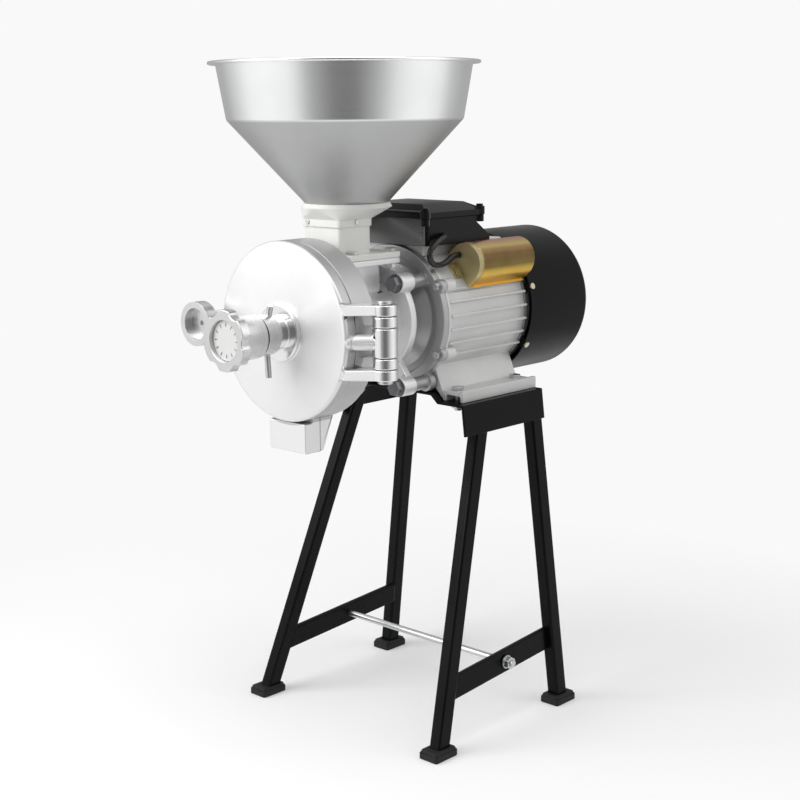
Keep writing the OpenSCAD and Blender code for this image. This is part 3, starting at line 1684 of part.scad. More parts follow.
saddle();
leg(1, -foot_y, front_top_y);  // leg_front_right
leg(-1, -foot_y, front_top_y);  // leg_front_left
leg(1, foot_y, rear_top_y);  // leg_rear_right
leg(-1, foot_y, rear_top_y);  // leg_rear_left
brace(1);  // brace_right
brace(-1);  // brace_left
foot_pads();
tie_rod();
tie_rod_washers();
stand_nuts();
motor_frame();
motor_foot_bolts();
stator_core();
stator_winding();
rotor();
motor_shaft();
bearing_outer_rings();
bearing_inner_rings();
bearing_balls_front();
bearing_balls_rear();
front_shield();
shield_bolts();
rear_shield();
cooling_fan();
fan_cover();
cover_screws();
terminal_box();
terminal_lid();
terminal_lid_screws();
terminal_block();
cable_gland();
capacitor();
capacitor_cover();
capacitor_lead();
mill_housing();
housing_bolts();
shaft_seal();
auger();
burr_carrier();
turning_burr();
burr_screws();
shaft_nut();
fixed_burr();
fixed_burr_screws();
feed_plate();
guide_pins();
mill_door();
hinge_pin();
adjust_screw();
adjust_knob();
knob_dial();
lock_ring();
clamp_knob();
clamp_washer();
inlet_neck();
flange_bolts();
hopper_collar();
collar_screws();
hopper();
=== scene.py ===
import json
import math

import bmesh
import bpy
import numpy as np
from mathutils import Matrix, Vector
from mathutils.bvhtree import BVHTree

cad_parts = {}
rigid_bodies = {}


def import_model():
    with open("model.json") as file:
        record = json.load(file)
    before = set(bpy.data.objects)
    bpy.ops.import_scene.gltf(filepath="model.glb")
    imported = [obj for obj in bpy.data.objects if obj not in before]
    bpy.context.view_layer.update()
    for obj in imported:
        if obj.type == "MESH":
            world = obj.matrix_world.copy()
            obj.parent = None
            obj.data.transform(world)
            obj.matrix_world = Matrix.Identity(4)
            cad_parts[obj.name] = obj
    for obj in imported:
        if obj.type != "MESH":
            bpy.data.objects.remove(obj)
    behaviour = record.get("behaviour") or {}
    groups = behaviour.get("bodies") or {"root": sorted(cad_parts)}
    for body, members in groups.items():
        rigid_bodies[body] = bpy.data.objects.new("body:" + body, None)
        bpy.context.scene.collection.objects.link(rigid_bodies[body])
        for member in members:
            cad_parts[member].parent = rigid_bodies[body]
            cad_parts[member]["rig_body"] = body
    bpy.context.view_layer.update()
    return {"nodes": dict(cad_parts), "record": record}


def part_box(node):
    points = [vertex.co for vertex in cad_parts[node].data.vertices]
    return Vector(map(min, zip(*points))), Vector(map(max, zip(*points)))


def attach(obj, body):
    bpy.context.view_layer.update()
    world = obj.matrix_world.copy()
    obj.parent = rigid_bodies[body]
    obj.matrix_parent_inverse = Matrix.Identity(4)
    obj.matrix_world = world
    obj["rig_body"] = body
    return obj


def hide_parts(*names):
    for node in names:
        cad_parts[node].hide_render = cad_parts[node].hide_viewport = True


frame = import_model()
print("frame loaded")

mm = 0.001
shaftZ = 0.480
shaftLine = ((0, 0, shaftZ), (0, 1, 0))
hopperAxis = (0.0, -0.101)


# nodes

def feed(tree, socket, value):
    # a constant goes onto the socket itself, and another socket is linked to it
    if isinstance(value, (tuple, int, float)):
        socket.default_value = value
    else:
        tree.links.new(value, socket)


def put(tree, kind, links=None, **values):
    # adds one node; values set sockets by name with _ for a blank, or the node's own settings
    node = tree.nodes.new(kind)
    for key, value in values.items():
        if hasattr(node, key):
            setattr(node, key, value)
        else:
            node.inputs[key.replace("_", " ")].default_value = value
    for key, source in (links or {}).items():
        tree.links.new(source, node.inputs[key])
    return node


def curve(tree, source, stops):
    # a value's ramp: stops are (position, grey) or (position, (r, g, b))
    ramp = put(tree, "ShaderNodeValToRGB", {"Fac": source})
    while len(ramp.color_ramp.elements) < len(stops):
        ramp.color_ramp.elements.new(0.5)
    for element, (place, shade) in zip(ramp.color_ramp.elements, stops):
        element.position = place
        element.color = (*(shade if hasattr(shade, "__len__") else (shade,) * 3), 1)
    return ramp.outputs["Color"]


def mathNode(tree, operation, a, b=None, clamp=False):
    # one sum, product or other function of one or two values
    node = put(tree, "ShaderNodeMath", operation=operation, use_clamp=clamp)
    feed(tree, node.inputs[0], a)
    if b is not None:
        feed(tree, node.inputs[1], b)
    return node.outputs[0]


def vectorNode(tree, operation, a, b=None, scale=None):
    # one function of vectors; a dot product or a length gives a value, the others a vector
    node = put(tree, "ShaderNodeVectorMath", operation=operation)
    for key, value in ((0, a), (1, b), ("Scale", scale)):
        if value is not None:
            feed(tree, node.inputs[key], value)
    return node.outputs["Value" if operation in ("DOT_PRODUCT", "LENGTH") else "Vector"]


def rescale(tree, value, low, high, start=0.0, end=1.0):
    # low + (high - low) x (value - start) / (end - start), held between low and high
    node = put(tree, "ShaderNodeMapRange", {"Value": value}, From_Min=start, From_Max=end)
    feed(tree, node.inputs["To Min"], low)
    feed(tree, node.inputs["To Max"], high)
    return node.outputs[0]


def mixColour(tree, factor, a, b):
    # colour = a (1 - factor) + b factor
    node = put(tree, "ShaderNodeMix", data_type="RGBA")
    for key, kind, value in (("Factor", "VALUE", factor), ("A", "RGBA", a), ("B", "RGBA", b)):
        socket = next(s for s in node.inputs if s.name == key and s.type == kind and s.enabled)
        feed(tree, socket, (*value, 1) if isinstance(value, tuple) else value)
    return next(s for s in node.outputs if s.type == "RGBA")


def objectPlace(tree):
    # the point's place in the object's own space
    return put(tree, "ShaderNodeTexCoord").outputs["Object"]


# camera and lights

photoCamera = {
    "azimuth": 43.24,
    "pitch": 11.13,
    "roll": -0.49,
    "distance": 1.78119,
    "focal": 1501.24,
    "picture": 800,
    "sensor": 36,
    "target": (0.00071, -0.0174, 0.37744),
}


def wayTo(azimuth, elevation):
    # (sin a cos e, -cos a cos e, sin e)
    a, e = math.radians(azimuth), math.radians(elevation)
    return Vector((math.sin(a) * math.cos(e), -math.cos(a) * math.cos(e), math.sin(e)))


def placeCamera(values):
    # up = back x right, then both turn by the roll r: right cos r + up sin r, and up cos r - right sin r;
    # lens = focal length in pixels x sensor / picture width
    a, r = math.radians(values["azimuth"]), math.radians(values["roll"])
    back = wayTo(values["azimuth"], values["pitch"])
    right = Vector((math.cos(a), math.sin(a), 0))
    up = back.cross(right)
    across = right * math.cos(r) + up * math.sin(r)
    over = up * math.cos(r) - right * math.sin(r)
    turn = Matrix((across, over, back)).transposed().to_4x4()
    spot = Vector(values["target"]) + back * values["distance"]
    data = bpy.data.cameras.new("photoCamera")
    data.sensor_width = values["sensor"]
    data.lens = values["focal"] * values["sensor"] / values["picture"]
    camera = bpy.data.objects.new("photoCamera", data)
    bpy.context.scene.collection.objects.link(camera)
    camera.matrix_world = Matrix.Translation(spot) @ turn
    bpy.context.scene.camera = camera


placeCamera(photoCamera)
bpy.context.scene.view_settings.view_transform = "Standard"

studio = {
    "ambient": 0.46,
    "white": 0.947,
    "facing": 43.0,
    "capLow": 0.45,
    "capHigh": 0.85,
    "cap": (0.9, 0.9, 0.9),
    "aim": (0, 0, 0.42),
    "shade": (
        # degrees to the right of the camera's side, and the grey that shiny parts see there
        (-180, 0.42), (-140, 0.42), (-112, 0.72), (-97, 0.95), (-73, 1.0), (-50, 0.93), (-40, 0.68),
        (-32, 0.42), (-8, 0.16), (12, 0.15), (24, 0.3), (38, 0.5), (50, 0.78), (66, 0.95), (84, 1.0),
        (103, 0.86), (116, 0.55), (136, 0.42), (180, 0.42),
    ),
    "lamps": (
        # azimuth, elevation, distance, size, watts
        (-26, 30, 2.3, 1.7, 35),
        (118, 38, 2.4, 1.5, 7),
        (40, 78, 2.0, 1.6, 14),
    ),
}


def lightStudio(values):
    # shiny parts see greys that change with the angle atan2(ray . right, ray . back), as a share of a turn,
    # and an even pale grey above and below; matt parts see one soft grey, and the camera sees white
    world = bpy.data.worlds.new("studio")
    bpy.context.scene.world = world
    world.use_nodes = True
    tree = world.node_tree
    tree.nodes.clear()
    path = put(tree, "ShaderNodeLightPath").outputs
    seen = mathNode(tree, "MAXIMUM", path["Is Camera Ray"], path["Is Transmission Ray"])
    ray = put(tree, "ShaderNodeTexCoord").outputs["Generated"]
    a = math.radians(values["facing"])
    right = vectorNode(tree, "DOT_PRODUCT", ray, (math.cos(a), math.sin(a), 0))
    back = vectorNode(tree, "DOT_PRODUCT", ray, (math.sin(a), -math.cos(a), 0))
    turn = mathNode(tree, "DIVIDE", mathNode(tree, "ARCTAN2", right, back), 2 * math.pi)
    share = mathNode(tree, "ADD", turn, 0.5)
    sides = curve(tree, share, [(0.5 + angle / 360, grey) for angle, grey in values["shade"]])
    height = put(tree, "ShaderNodeSeparateXYZ", {0: ray}).outputs["Z"]
    steep = mathNode(tree, "ABSOLUTE", height)
    cap = curve(tree, steep, ((values["capLow"], 0.0), (values["capHigh"], 1.0)))
    room = mixColour(tree, cap, sides, values["cap"])
    white = put(tree, "ShaderNodeBackground", Color=(1, 1, 1, 1), Strength=values["white"]).outputs[0]
    gloss = put(tree, "ShaderNodeBackground", {"Color": room}, Strength=1.0).outputs[0]
    soft = put(tree, "ShaderNodeBackground", Color=(1, 1, 1, 1), Strength=values["ambient"]).outputs[0]
    lit = put(tree, "ShaderNodeMixShader", {0: path["Is Glossy Ray"], 1: soft, 2: gloss}).outputs[0]
    both = put(tree, "ShaderNodeMixShader", {0: seen, 1: lit, 2: white}).outputs[0]
    put(tree, "ShaderNodeOutputWorld", {"Surface": both})
    for number, (azimuth, elevation, distance, size, watts) in enumerate(values["lamps"]):
        way = wayTo(azimuth, elevation)
        data = bpy.data.lights.new("softbox%d" % number, "AREA")
        data.size = size
        data.energy = watts
        lamp = bpy.data.objects.new(data.name, data)
        lamp.location = Vector(values["aim"]) + way * distance
        lamp.rotation_euler = way.to_track_quat("Z", "Y").to_euler()
        bpy.context.scene.collection.objects.link(lamp)


lightStudio(studio)


# meshes from arrays

def addMesh(name, points, faces, slotName, body, sharp=40):
    # a mesh object at the origin, smooth across edges flatter than the sharp angle, on its body
    mesh = bpy.data.meshes.new(name)
    corners = np.asarray(points, float).reshape(-1, 3).tolist()
    mesh.from_pydata(corners, [], [list(map(int, face)) for face in faces])
    mesh.polygons.foreach_set("use_smooth", np.ones(len(mesh.polygons), bool))
    mesh.set_sharp_from_angle(angle=math.radians(sharp))
    mesh.update()
    mesh.materials.append(finishes[slotName])
    piece = bpy.data.objects.new(name, mesh)
    bpy.context.scene.collection.objects.link(piece)
    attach(piece, body)
    return piece


def gridFaces(rows, columns, closedRows=False, closedColumns=False):
    # quads between neighbours of a rows x columns grid
    i = np.arange(rows if closedRows else rows - 1)
    j = np.arange(columns if closedColumns else columns - 1)
    i, j = np.meshgrid(i, j, indexing="ij")
    n, m = (i + 1) % rows, (j + 1) % columns
    corners = [i * columns + j, i * columns + m, n * columns + m, n * columns + j]
    return np.stack(corners, -1).reshape(-1, 4)


def outward(mesh, weld=1e-7):
    # joins points that coincide, and turns every face outwards
    shell = bmesh.new()
    shell.from_mesh(mesh)
    bmesh.ops.remove_doubles(shell, verts=shell.verts, dist=weld)
    bmesh.ops.recalc_face_normals(shell, faces=shell.faces)
    shell.to_mesh(mesh)
    shell.free()


def revolve(name, profile, place, slotName, body, turns=128, sharp=35):
    # place maps (radius, height, angle) arrays to points; the closed profile turns a full circle
    profile = np.asarray(profile, float)
    angle = np.linspace(0, 2 * math.pi, turns, endpoint=False)
    radius, along = profile[:, :1], profile[:, 1:2]
    points = place(radius + 0 * angle, along + 0 * angle, angle + 0 * radius)
    faces = gridFaces(len(profile), turns, True, True)
    piece = addMesh(name, points, faces, slotName, body, sharp)
    outward(piece.data)
    return piece


def upright(x, y):
    # (x + r cos t, y + r sin t, h)
    return lambda r, h, t: np.stack([x + r * np.cos(t), y + r * np.sin(t), h + 0 * t], -1)


def arc(cx, cy, r, start, end, steps):
    # centre + r (cos t, sin t), from start to end in degrees
    t = np.radians(np.linspace(start, end, steps))
    return np.stack([cx + r * np.cos(t), cy + r * np.sin(t)], -1)


def tube(name, path, radius, slotName, body, sides=20, lean=(0.31, 0.2, 0.93)):
    # a round tube along a smooth path: point = path + radius (side cos t + over sin t), with flat ends;
    # side is square to the path and to the lean, which the path never follows
    ways = np.gradient(path, axis=0)
    ways /= np.linalg.norm(ways, axis=1, keepdims=True)
    side = np.cross(ways, lean)
    side /= np.linalg.norm(side, axis=1, keepdims=True)
    over = np.cross(ways, side)
    t = np.linspace(0, 2 * math.pi, sides, endpoint=False)
    ring = side[:, None] * np.cos(t)[None, :, None] + over[:, None] * np.sin(t)[None, :, None]
    points = path[:, None] + radius * ring
    count = len(path) * sides
    faces = [list(face) for face in gridFaces(len(path), sides, False, True)]
    points = np.vstack([points.reshape(-1, 3), path[:1], path[-1:]])
    k = np.arange(sides)
    faces += np.stack([np.full(sides, count), (k + 1) % sides, k], -1).tolist()
    last = count - sides
    faces += np.stack([np.full(sides, count + 1), last + k, last + (k + 1) % sides], -1).tolist()
    piece = addMesh(name, points, faces, slotName, body, 50)
    outward(piece.data)
    return piece


def smoothPath(points, rows):
    # Catmull-Rom curve through the points:
    # 0.5 (2 b + (c - a) t + (2 a - 5 b + 4 c - d) t^2 + (3 b - a - 3 c + d) t^3)
    p = np.asarray(points, float)
    p = np.vstack([2 * p[0] - p[1], p, 2 * p[-1] - p[-2]])
    s = np.linspace(0, len(points) - 1 - 1e-9, rows)
    i = s.astype(int)
    t = (s - i)[:, None]
    a, b, c, d = p[i], p[i + 1], p[i + 2], p[i + 3]
    square = 2 * a - 5 * b + 4 * c - d
    cube = 3 * b - a - 3 * c + d
    return 0.5 * (2 * b + (c - a) * t + square * t**2 + cube * t**3)


edgeTidy = {"flat": 0.4, "strayShare": 0.6}


def softEdged(node, width, segments=2, limit=30, merge=1e-6):
    # copies the CAD node, welds its loose triangles, joins flat faces and rounds each edge sharper than
    # the limit; a corner that the rounding threw off the casting goes back onto the nearest point of it
    body = frame["nodes"][node]["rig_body"]
    mesh = frame["nodes"][node].data.copy()
    shell = bmesh.new()
    shell.from_mesh(mesh)
    bmesh.ops.remove_doubles(shell, verts=shell.verts, dist=merge)
    bmesh.ops.dissolve_degenerate(shell, edges=shell.edges, dist=merge)
    flat = math.radians(edgeTidy["flat"])
    bmesh.ops.dissolve_limit(shell, verts=shell.verts, edges=shell.edges, angle_limit=flat)
    shell.to_mesh(mesh)
    shell.free()
    if mesh.has_custom_normals:
        mesh.attributes.remove(mesh.attributes["custom_normal"])
    corners = [vertex.co for vertex in mesh.vertices]
    surface = BVHTree.FromPolygons(corners, [face.vertices[:] for face in mesh.polygons])
    mesh.polygons.foreach_set("use_smooth", np.ones(len(mesh.polygons), bool))
    piece = bpy.data.objects.new(node + "_cast", mesh)
    bpy.context.scene.collection.objects.link(piece)
    bevel = piece.modifiers.new("round", "BEVEL")
    bevel.width = width
    bevel.segments = segments
    bevel.limit_method = "ANGLE"
    bevel.angle_limit = math.radians(limit)
    bevel.use_clamp_overlap = False
    bevel.miter_outer = "MITER_ARC"
    bevel.harden_normals = True
    evaluated = piece.evaluated_get(bpy.context.evaluated_depsgraph_get())
    rounded = bpy.data.meshes.new_from_object(evaluated)
    for vertex in rounded.vertices:
        near, normal, index, distance = surface.find_nearest(vertex.co)
        if distance > edgeTidy["strayShare"] * width:
            vertex.co = near
    piece.modifiers.clear()
    piece.data = rounded
    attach(piece, body)
    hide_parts(node)
    return piece


# shared effects of the finishes

def newGroup(name, inputs, outputs):
    # an empty node group with its sockets
    tree = bpy.data.node_groups.new(name, "ShaderNodeTree")
    for label, kind, value in inputs:
        socket = tree.interface.new_socket(name=label, in_out="INPUT", socket_type=kind)
        socket.default_value = value
    for label, kind in outputs:
        tree.interface.new_socket(name=label, in_out="OUTPUT", socket_type=kind)
    return tree, tree.nodes.new("NodeGroupInput").outputs, tree.nodes.new("NodeGroupOutput").inputs


def makeGrain():
    # Height: fine cast or sprayed grain less pits, and Blotch: broad uneven patches, both in object space
    tree, given, out = newGroup(
        "grain",
        (("Scale", "NodeSocketFloat", 500.0), ("Pits", "NodeSocketFloat", 0.3)),
        (("Height", "NodeSocketFloat"), ("Blotch", "NodeSocketFloat")),
    )
    place = objectPlace(tree)
    where = {"Vector": place, "Scale": given["Scale"]}
    fine = put(tree, "ShaderNodeTexNoise", where, Detail=3.0, Roughness=0.6)
    cells = put(tree, "ShaderNodeTexVoronoi", where, Randomness=1.0)
    deep = mathNode(tree, "LESS_THAN", cells.outputs["Distance"], 0.16)
    hole = mathNode(tree, "MULTIPLY", deep, given["Pits"])
    feed(tree, out["Height"], mathNode(tree, "SUBTRACT", fine.outputs["Fac"], hole))
    broad = put(tree, "ShaderNodeTexNoise", {"Vector": place}, Scale=14.0, Detail=4.0, Roughness=0.55)
    feed(tree, out["Blotch"], curve(tree, broad.outputs["Fac"], ((0.36, 0.0), (0.66, 1.0))))
    return tree


def makeEdges():
    # Mask: gain x (1 - softened normal . normal), broken up by noise; Normal: the edge softened
    tree, given, out = newGroup(
        "edges",
        (("Radius", "NodeSocketFloat", 0.0008), ("Gain", "NodeSocketFloat", 6.0)),
        (("Mask", "NodeSocketFloat"), ("Normal", "NodeSocketVector")),
    )
    soft = put(tree, "ShaderNodeBevel", {"Radius": given["Radius"]}, samples=4).outputs[0]
    plain = put(tree, "ShaderNodeNewGeometry").outputs["Normal"]
    turn = mathNode(tree, "SUBTRACT", 1.0, vectorNode(tree, "DOT_PRODUCT", soft, plain))
    bend = mathNode(tree, "MULTIPLY", turn, given["Gain"], clamp=True)
    place = objectPlace(tree)
    chips = put(tree, "ShaderNodeTexNoise", {"Vector": place}, Scale=160.0, Detail=4.0, Roughness=0.7)
    rough = curve(tree, chips.outputs["Fac"], ((0.4, 0.0), (0.62, 1.0)))
    feed(tree, out["Mask"], mathNode(tree, "MULTIPLY", bend, rough))
    feed(tree, out["Normal"], soft)
    return tree


def makeTurned():
    # noise over (scale x (along + radius), drift across) of an axis: fine circles round it on turned faces
    tree, given, out = newGroup(
        "turned",
        (
            ("Centre", "NodeSocketVector", (0.0, 0.0, 0.0)),
            ("Axis", "NodeSocketVector", (0.0, 0.0, 1.0)),
            ("Scale", "NodeSocketFloat", 900.0),
        ),
        (("Height", "NodeSocketFloat"), ("Streak", "NodeSocketFloat")),
    )
    local = vectorNode(tree, "SUBTRACT", objectPlace(tree), given["Centre"])
    along = vectorNode(tree, "DOT_PRODUCT", local, given["Axis"])
    flat = vectorNode(tree, "SUBTRACT", local, vectorNode(tree, "SCALE", given["Axis"], scale=along))
    radius = vectorNode(tree, "LENGTH", flat)
    cone = mathNode(tree, "MULTIPLY", mathNode(tree, "ADD", along, radius), given["Scale"])
    drift = put(tree, "ShaderNodeSeparateXYZ", {0: vectorNode(tree, "SCALE", local, scale=6.0)}).outputs
    spot = put(tree, "ShaderNodeCombineXYZ", {"X": cone, "Y": drift["X"], "Z": drift["Y"]}).outputs[0]
    lines = put(tree, "ShaderNodeTexNoise", {"Vector": spot}, Scale=1.0, Detail=3.0, Roughness=0.65)
    feed(tree, out["Height"], lines.outputs["Fac"])
    feed(tree, out["Streak"], curve(tree, lines.outputs["Fac"], ((0.3, 0.0), (0.7, 1.0))))
    return tree


groups = {"grain": makeGrain(), "edges": makeEdges(), "turned": makeTurned()}


def useGroup(tree, name, **values):
    # one use of a shared effect, with its sockets set
    node = tree.nodes.new("ShaderNodeGroup")
    node.node_tree = groups[name]
    for key, value in values.items():
        node.inputs[key].default_value = value
    return node.outputs


# finishes

def newFinish(name, **sockets):
    # a material with its shader, whose constant sockets are named with _ for a blank
    material = bpy.data.materials.new(name)
    material.use_nodes = True
    tree = material.node_tree
    shader = tree.nodes["Principled BSDF"]
    for key, value in sockets.items():
        shader.inputs[key.replace("_", " ")].default_value = value
    return material, tree, shader.inputs


def plainFinish(name, colour, second, roughness, metallic=0.0, worn=None, wornAmount=0.0, scale=500.0,
                depth=0.00008, pits=0.0, roughSpread=0.08, edge=0.0007, turned=None, **sockets):
    # two close shades in patches, worn edges, roughness +- spread / 2, and grain or turning lines as bump
    material, tree, inputs = newFinish(name, Metallic=metallic, **sockets)
    grain = useGroup(tree, "grain", Scale=scale, Pits=pits)
    edges = useGroup(tree, "edges", Radius=edge)
    patch = mixColour(tree, grain["Blotch"], colour, second)
    wear = mathNode(tree, "MULTIPLY", edges["Mask"], wornAmount)
    feed(tree, inputs["Base Color"], mixColour(tree, wear, patch, worn or colour))
    height, streak = grain["Height"], grain["Blotch"]
    if turned:
        lines = useGroup(tree, "turned", **turned)
        height, streak = lines["Height"], lines["Streak"]
    spread = mathNode(tree, "MULTIPLY", streak, roughSpread)
    feed(tree, inputs["Roughness"], mathNode(tree, "ADD", spread, roughness - roughSpread / 2))
    heights = {"Height": height, "Normal": edges["Normal"]}
    relief = put(tree, "ShaderNodeBump", heights, Strength=0.5, Distance=depth)
    feed(tree, inputs["Normal"], relief.outputs[0])
    return material


def nearAxis(tree, centre, axis, inner, outer, low, high):
    # 1 between two radii of an axis line through the centre, from low to high along it
    local = vectorNode(tree, "SUBTRACT", objectPlace(tree), centre)
    along = vectorNode(tree, "DOT_PRODUCT", local, axis)
    flat = vectorNode(tree, "SUBTRACT", local, vectorNode(tree, "SCALE", axis, scale=along))
    radius = vectorNode(tree, "LENGTH", flat)
    mask = 1.0
    for value, least, most in ((radius, inner, outer), (along, low, high)):
        mask = mathNode(tree, "MULTIPLY", mathNode(tree, "GREATER_THAN", value, least), mask)
        mask = mathNode(tree, "MULTIPLY", mathNode(tree, "LESS_THAN", value, most), mask)
    return mask


def tinted(material, zone, colour):
    # mixes one more colour over the finish where zone(tree) is 1
    tree = material.node_tree
    target = tree.nodes["Principled BSDF"].inputs["Base Color"]
    feed(tree, target, mixColour(tree, zone(tree), target.links[0].from_socket, colour))
    return material


def shone(material, zone, metallic, roughness):
    # machined and polished where zone(tree) is 1
    tree = material.node_tree
    inputs = tree.nodes["Principled BSDF"].inputs
    mask = zone(tree)
    feed(tree, inputs["Metallic"], rescale(tree, mask, inputs["Metallic"].default_value, metallic))
    before = inputs["Roughness"].links[0].from_socket
    feed(tree, inputs["Roughness"], rescale(tree, mask, before, roughness))
    return material


zones = {
    # radii from and to, and from and to along the axis, in metres, round the shaft where no line is given
    "hinge": {"line": ((0.123, -0.1695, 0), (0, 0, 1)), "span": (-1.0, 0.0142, 0.40, 0.55)},
    "hub": {"span": (-1.0, 0.032, -0.30, -0.2038)},
    "drumSidesPaintedShade": {"span": (0.0955, 0.103, -0.1995, -0.153)},
    "boxFrontPaintedLight": {"line": ((0, -0.034, 0.5792), (0, 1, 0)), "span": (-1.0, 0.08, -0.0006, 0.0006)},
    "coverScrews": {"span": (0.085, 0.12, 0.119, 0.13)},
    "bolts": {"span": (0.05, 0.12, -0.10, 0.0)},
    "ticks": {"span": (0.0145, 0.0185, -0.30, -0.2785), "count": 12, "wide": 0.17},
}


def zoneMask(tree, name):
    # 1 inside one of the zones
    return nearAxis(tree, *zones[name].get("line", shaftLine), *zones[name]["span"])


def machinedZones(tree):
    # the hinge knuckles, and the hub of the door
    return mathNode(tree, "MAXIMUM", zoneMask(tree, "hinge"), zoneMask(tree, "hub"))


def drumSidesPaintedShade(tree):
    # the sides of the drum and of the door, where the silver is painted darker than the front face: painted
    # shade
    return zoneMask(tree, "drumSidesPaintedShade")


def boxFrontPaintedLight(tree):
    # the front wall of the terminal box, painted grey where the lamps fall on it: painted light
    return zoneMask(tree, "boxFrontPaintedLight")


def coverScrews(tree):
    # the screws of the fan cover
    return zoneMask(tree, "coverScrews")


def boltZone(tree):
    # the bolts between the mill and the motor
    return zoneMask(tree, "bolts")


def tickZone(tree):
    # printed ticks: |sin(count / 2 x angle)| is small near each of the count directions
    ring = zoneMask(tree, "ticks")
    place = put(tree, "ShaderNodeSeparateXYZ", {0: objectPlace(tree)}).outputs
    angle = mathNode(tree, "ARCTAN2", place["X"], mathNode(tree, "SUBTRACT", place["Z"], shaftZ))
    wave = mathNode(tree, "SINE", mathNode(tree, "MULTIPLY", angle, zones["ticks"]["count"] / 2))
    near = mathNode(tree, "LESS_THAN", mathNode(tree, "ABSOLUTE", wave), zones["ticks"]["wide"])
    return mathNode(tree, "MULTIPLY", ring, near)


def hopperFinish(values):
    # a bright band over a duller cone, both with spun lines round the axis
    material, tree, inputs = newFinish("hopperSteel", Metallic=1.0)
    grain = useGroup(tree, "grain", Scale=300.0)
    lines = useGroup(tree, "turned", Centre=(*hopperAxis, 0.0), Scale=1100.0)
    height = put(tree, "ShaderNodeSeparateXYZ", {0: objectPlace(tree)}).outputs["Z"]
    start, end = values["waist"] - values["blend"], values["waist"] + values["blend"]
    zone = rescale(tree, height, 0.0, 1.0, start, end)
    cone = mixColour(tree, grain["Blotch"], values["cone"], values["coneMark"])
    band = mixColour(tree, grain["Blotch"], values["band"], values["bandMark"])
    feed(tree, inputs["Base Color"], mixColour(tree, zone, cone, band))
    spread = mathNode(tree, "MULTIPLY", lines["Streak"], values["spread"])
    level = rescale(tree, zone, values["coneRough"], values["bandRough"])
    feed(tree, inputs["Roughness"], mathNode(tree, "ADD", spread, level))
    relief = put(tree, "ShaderNodeBump", {"Height": lines["Height"]}, Strength=0.3, Distance=0.00003)
    feed(tree, inputs["Normal"], relief.outputs[0])
    return material


def goldFinish(values):
    # yellow passivated zinc: the film's tint runs in bands round the cover and wanders with noise; the bands'
    # light and dark follow the cover's curve as painted highlight and painted shade, and the front end is
    # painted lighter as painted light
    material, tree, inputs = newFinish("goldZinc", Metallic=1.0)
    grain = useGroup(tree, "grain", Scale=420.0)
    edges = useGroup(tree, "edges", Radius=0.0006)
    place = objectPlace(tree)
    a = math.radians(values["angle"])
    across = vectorNode(tree, "DOT_PRODUCT", place, (-math.sin(a), 0.0, math.cos(a)))
    wander = put(tree, "ShaderNodeTexNoise", {"Vector": place}, Scale=16.0, Detail=3.0).outputs["Fac"]
    # bands across the cover: the film's hue, with painted highlight and painted shade that follow its curve
    drift = mathNode(tree, "MULTIPLY", mathNode(tree, "SUBTRACT", wander, 0.5), values["wander"])
    share = rescale(tree, mathNode(tree, "ADD", across, drift), 0.0, 1.0, values["from"], values["to"])
    # the front end is painted paler and made less metallic: painted light standing in for a bright reflection
    ahead = put(tree, "ShaderNodeSeparateXYZ", {0: place}).outputs["Y"]
    end = rescale(tree, ahead, 0.0, 1.0, values["endY"] + values["blend"], values["endY"] - values["blend"])
    painted = mathNode(tree, "MULTIPLY", end, values["endShare"])
    tint = mixColour(tree, painted, curve(tree, share, values["filmHueAndPaintedShade"]), values["endPaintedLight"])
    dull = mathNode(tree, "MULTIPLY", end, values["endDull"])
    feed(tree, inputs["Metallic"], mathNode(tree, "SUBTRACT", 1.0, dull))
    speck = mixColour(tree, mathNode(tree, "MULTIPLY", grain["Blotch"], 0.2), tint, values["pale"])
    rubbed = mathNode(tree, "MULTIPLY", edges["Mask"], 0.5)
    feed(tree, inputs["Base Color"], mixColour(tree, rubbed, speck, values["edge"]))
    level = mathNode(tree, "ADD", mathNode(tree, "MULTIPLY", grain["Blotch"], 0.1), values["rough"])
    feed(tree, inputs["Roughness"], level)
    heights = {"Height": grain["Height"], "Normal": edges["Normal"]}
    relief = put(tree, "ShaderNodeBump", heights, Strength=0.25, Distance=0.00005)
    feed(tree, inputs["Normal"], relief.outputs[0])
    return material


def shaftTurned(scale):
    # turning lines round the shaft
    return {"Centre": shaftLine[0], "Axis": shaftLine[1], "Scale": scale}


hopperLooks = {
    "waist": 0.7055, "blend": 0.0015, "spread": 0.06,
    "cone": (0.53, 0.535, 0.535), "coneMark": (0.50, 0.505, 0.50), "coneRough": 0.44,
    "band": (0.92, 0.925, 0.93), "bandMark": (0.88, 0.885, 0.89), "bandRough": 0.2,
}
goldLooks = {
    "angle": 41.0, "from": 0.338, "to": 0.3866, "wander": 0.005, "rough": 0.26,
    "pale": (0.5, 0.4, 0.2), "edge": (0.8, 0.66, 0.38),
    "endY": 0.0262, "endPaintedLight": (0.58, 0.5, 0.26), "endShare": 0.75, "endDull": 0.45, "blend": 0.0004,
    "filmHueAndPaintedShade": (
        # share of the way up across the cover, and the colour there: the film's hue, with painted highlight and
        # painted shade in its lightness
        (0.0, (0.85, 0.5, 0.06)), (0.05, (0.6, 0.4, 0.05)), (0.1, (0.17, 0.12, 0.025)),
        (0.2, (0.13, 0.075, 0.02)), (0.34, (0.12, 0.065, 0.026)), (0.48, (0.38, 0.22, 0.09)),
        (0.56, (0.56, 0.45, 0.17)), (0.63, (0.54, 0.38, 0.16)), (0.72, (0.55, 0.3, 0.17)),
        (0.88, (0.45, 0.22, 0.14)), (1.0, (0.6, 0.34, 0.24)),
    ),
}
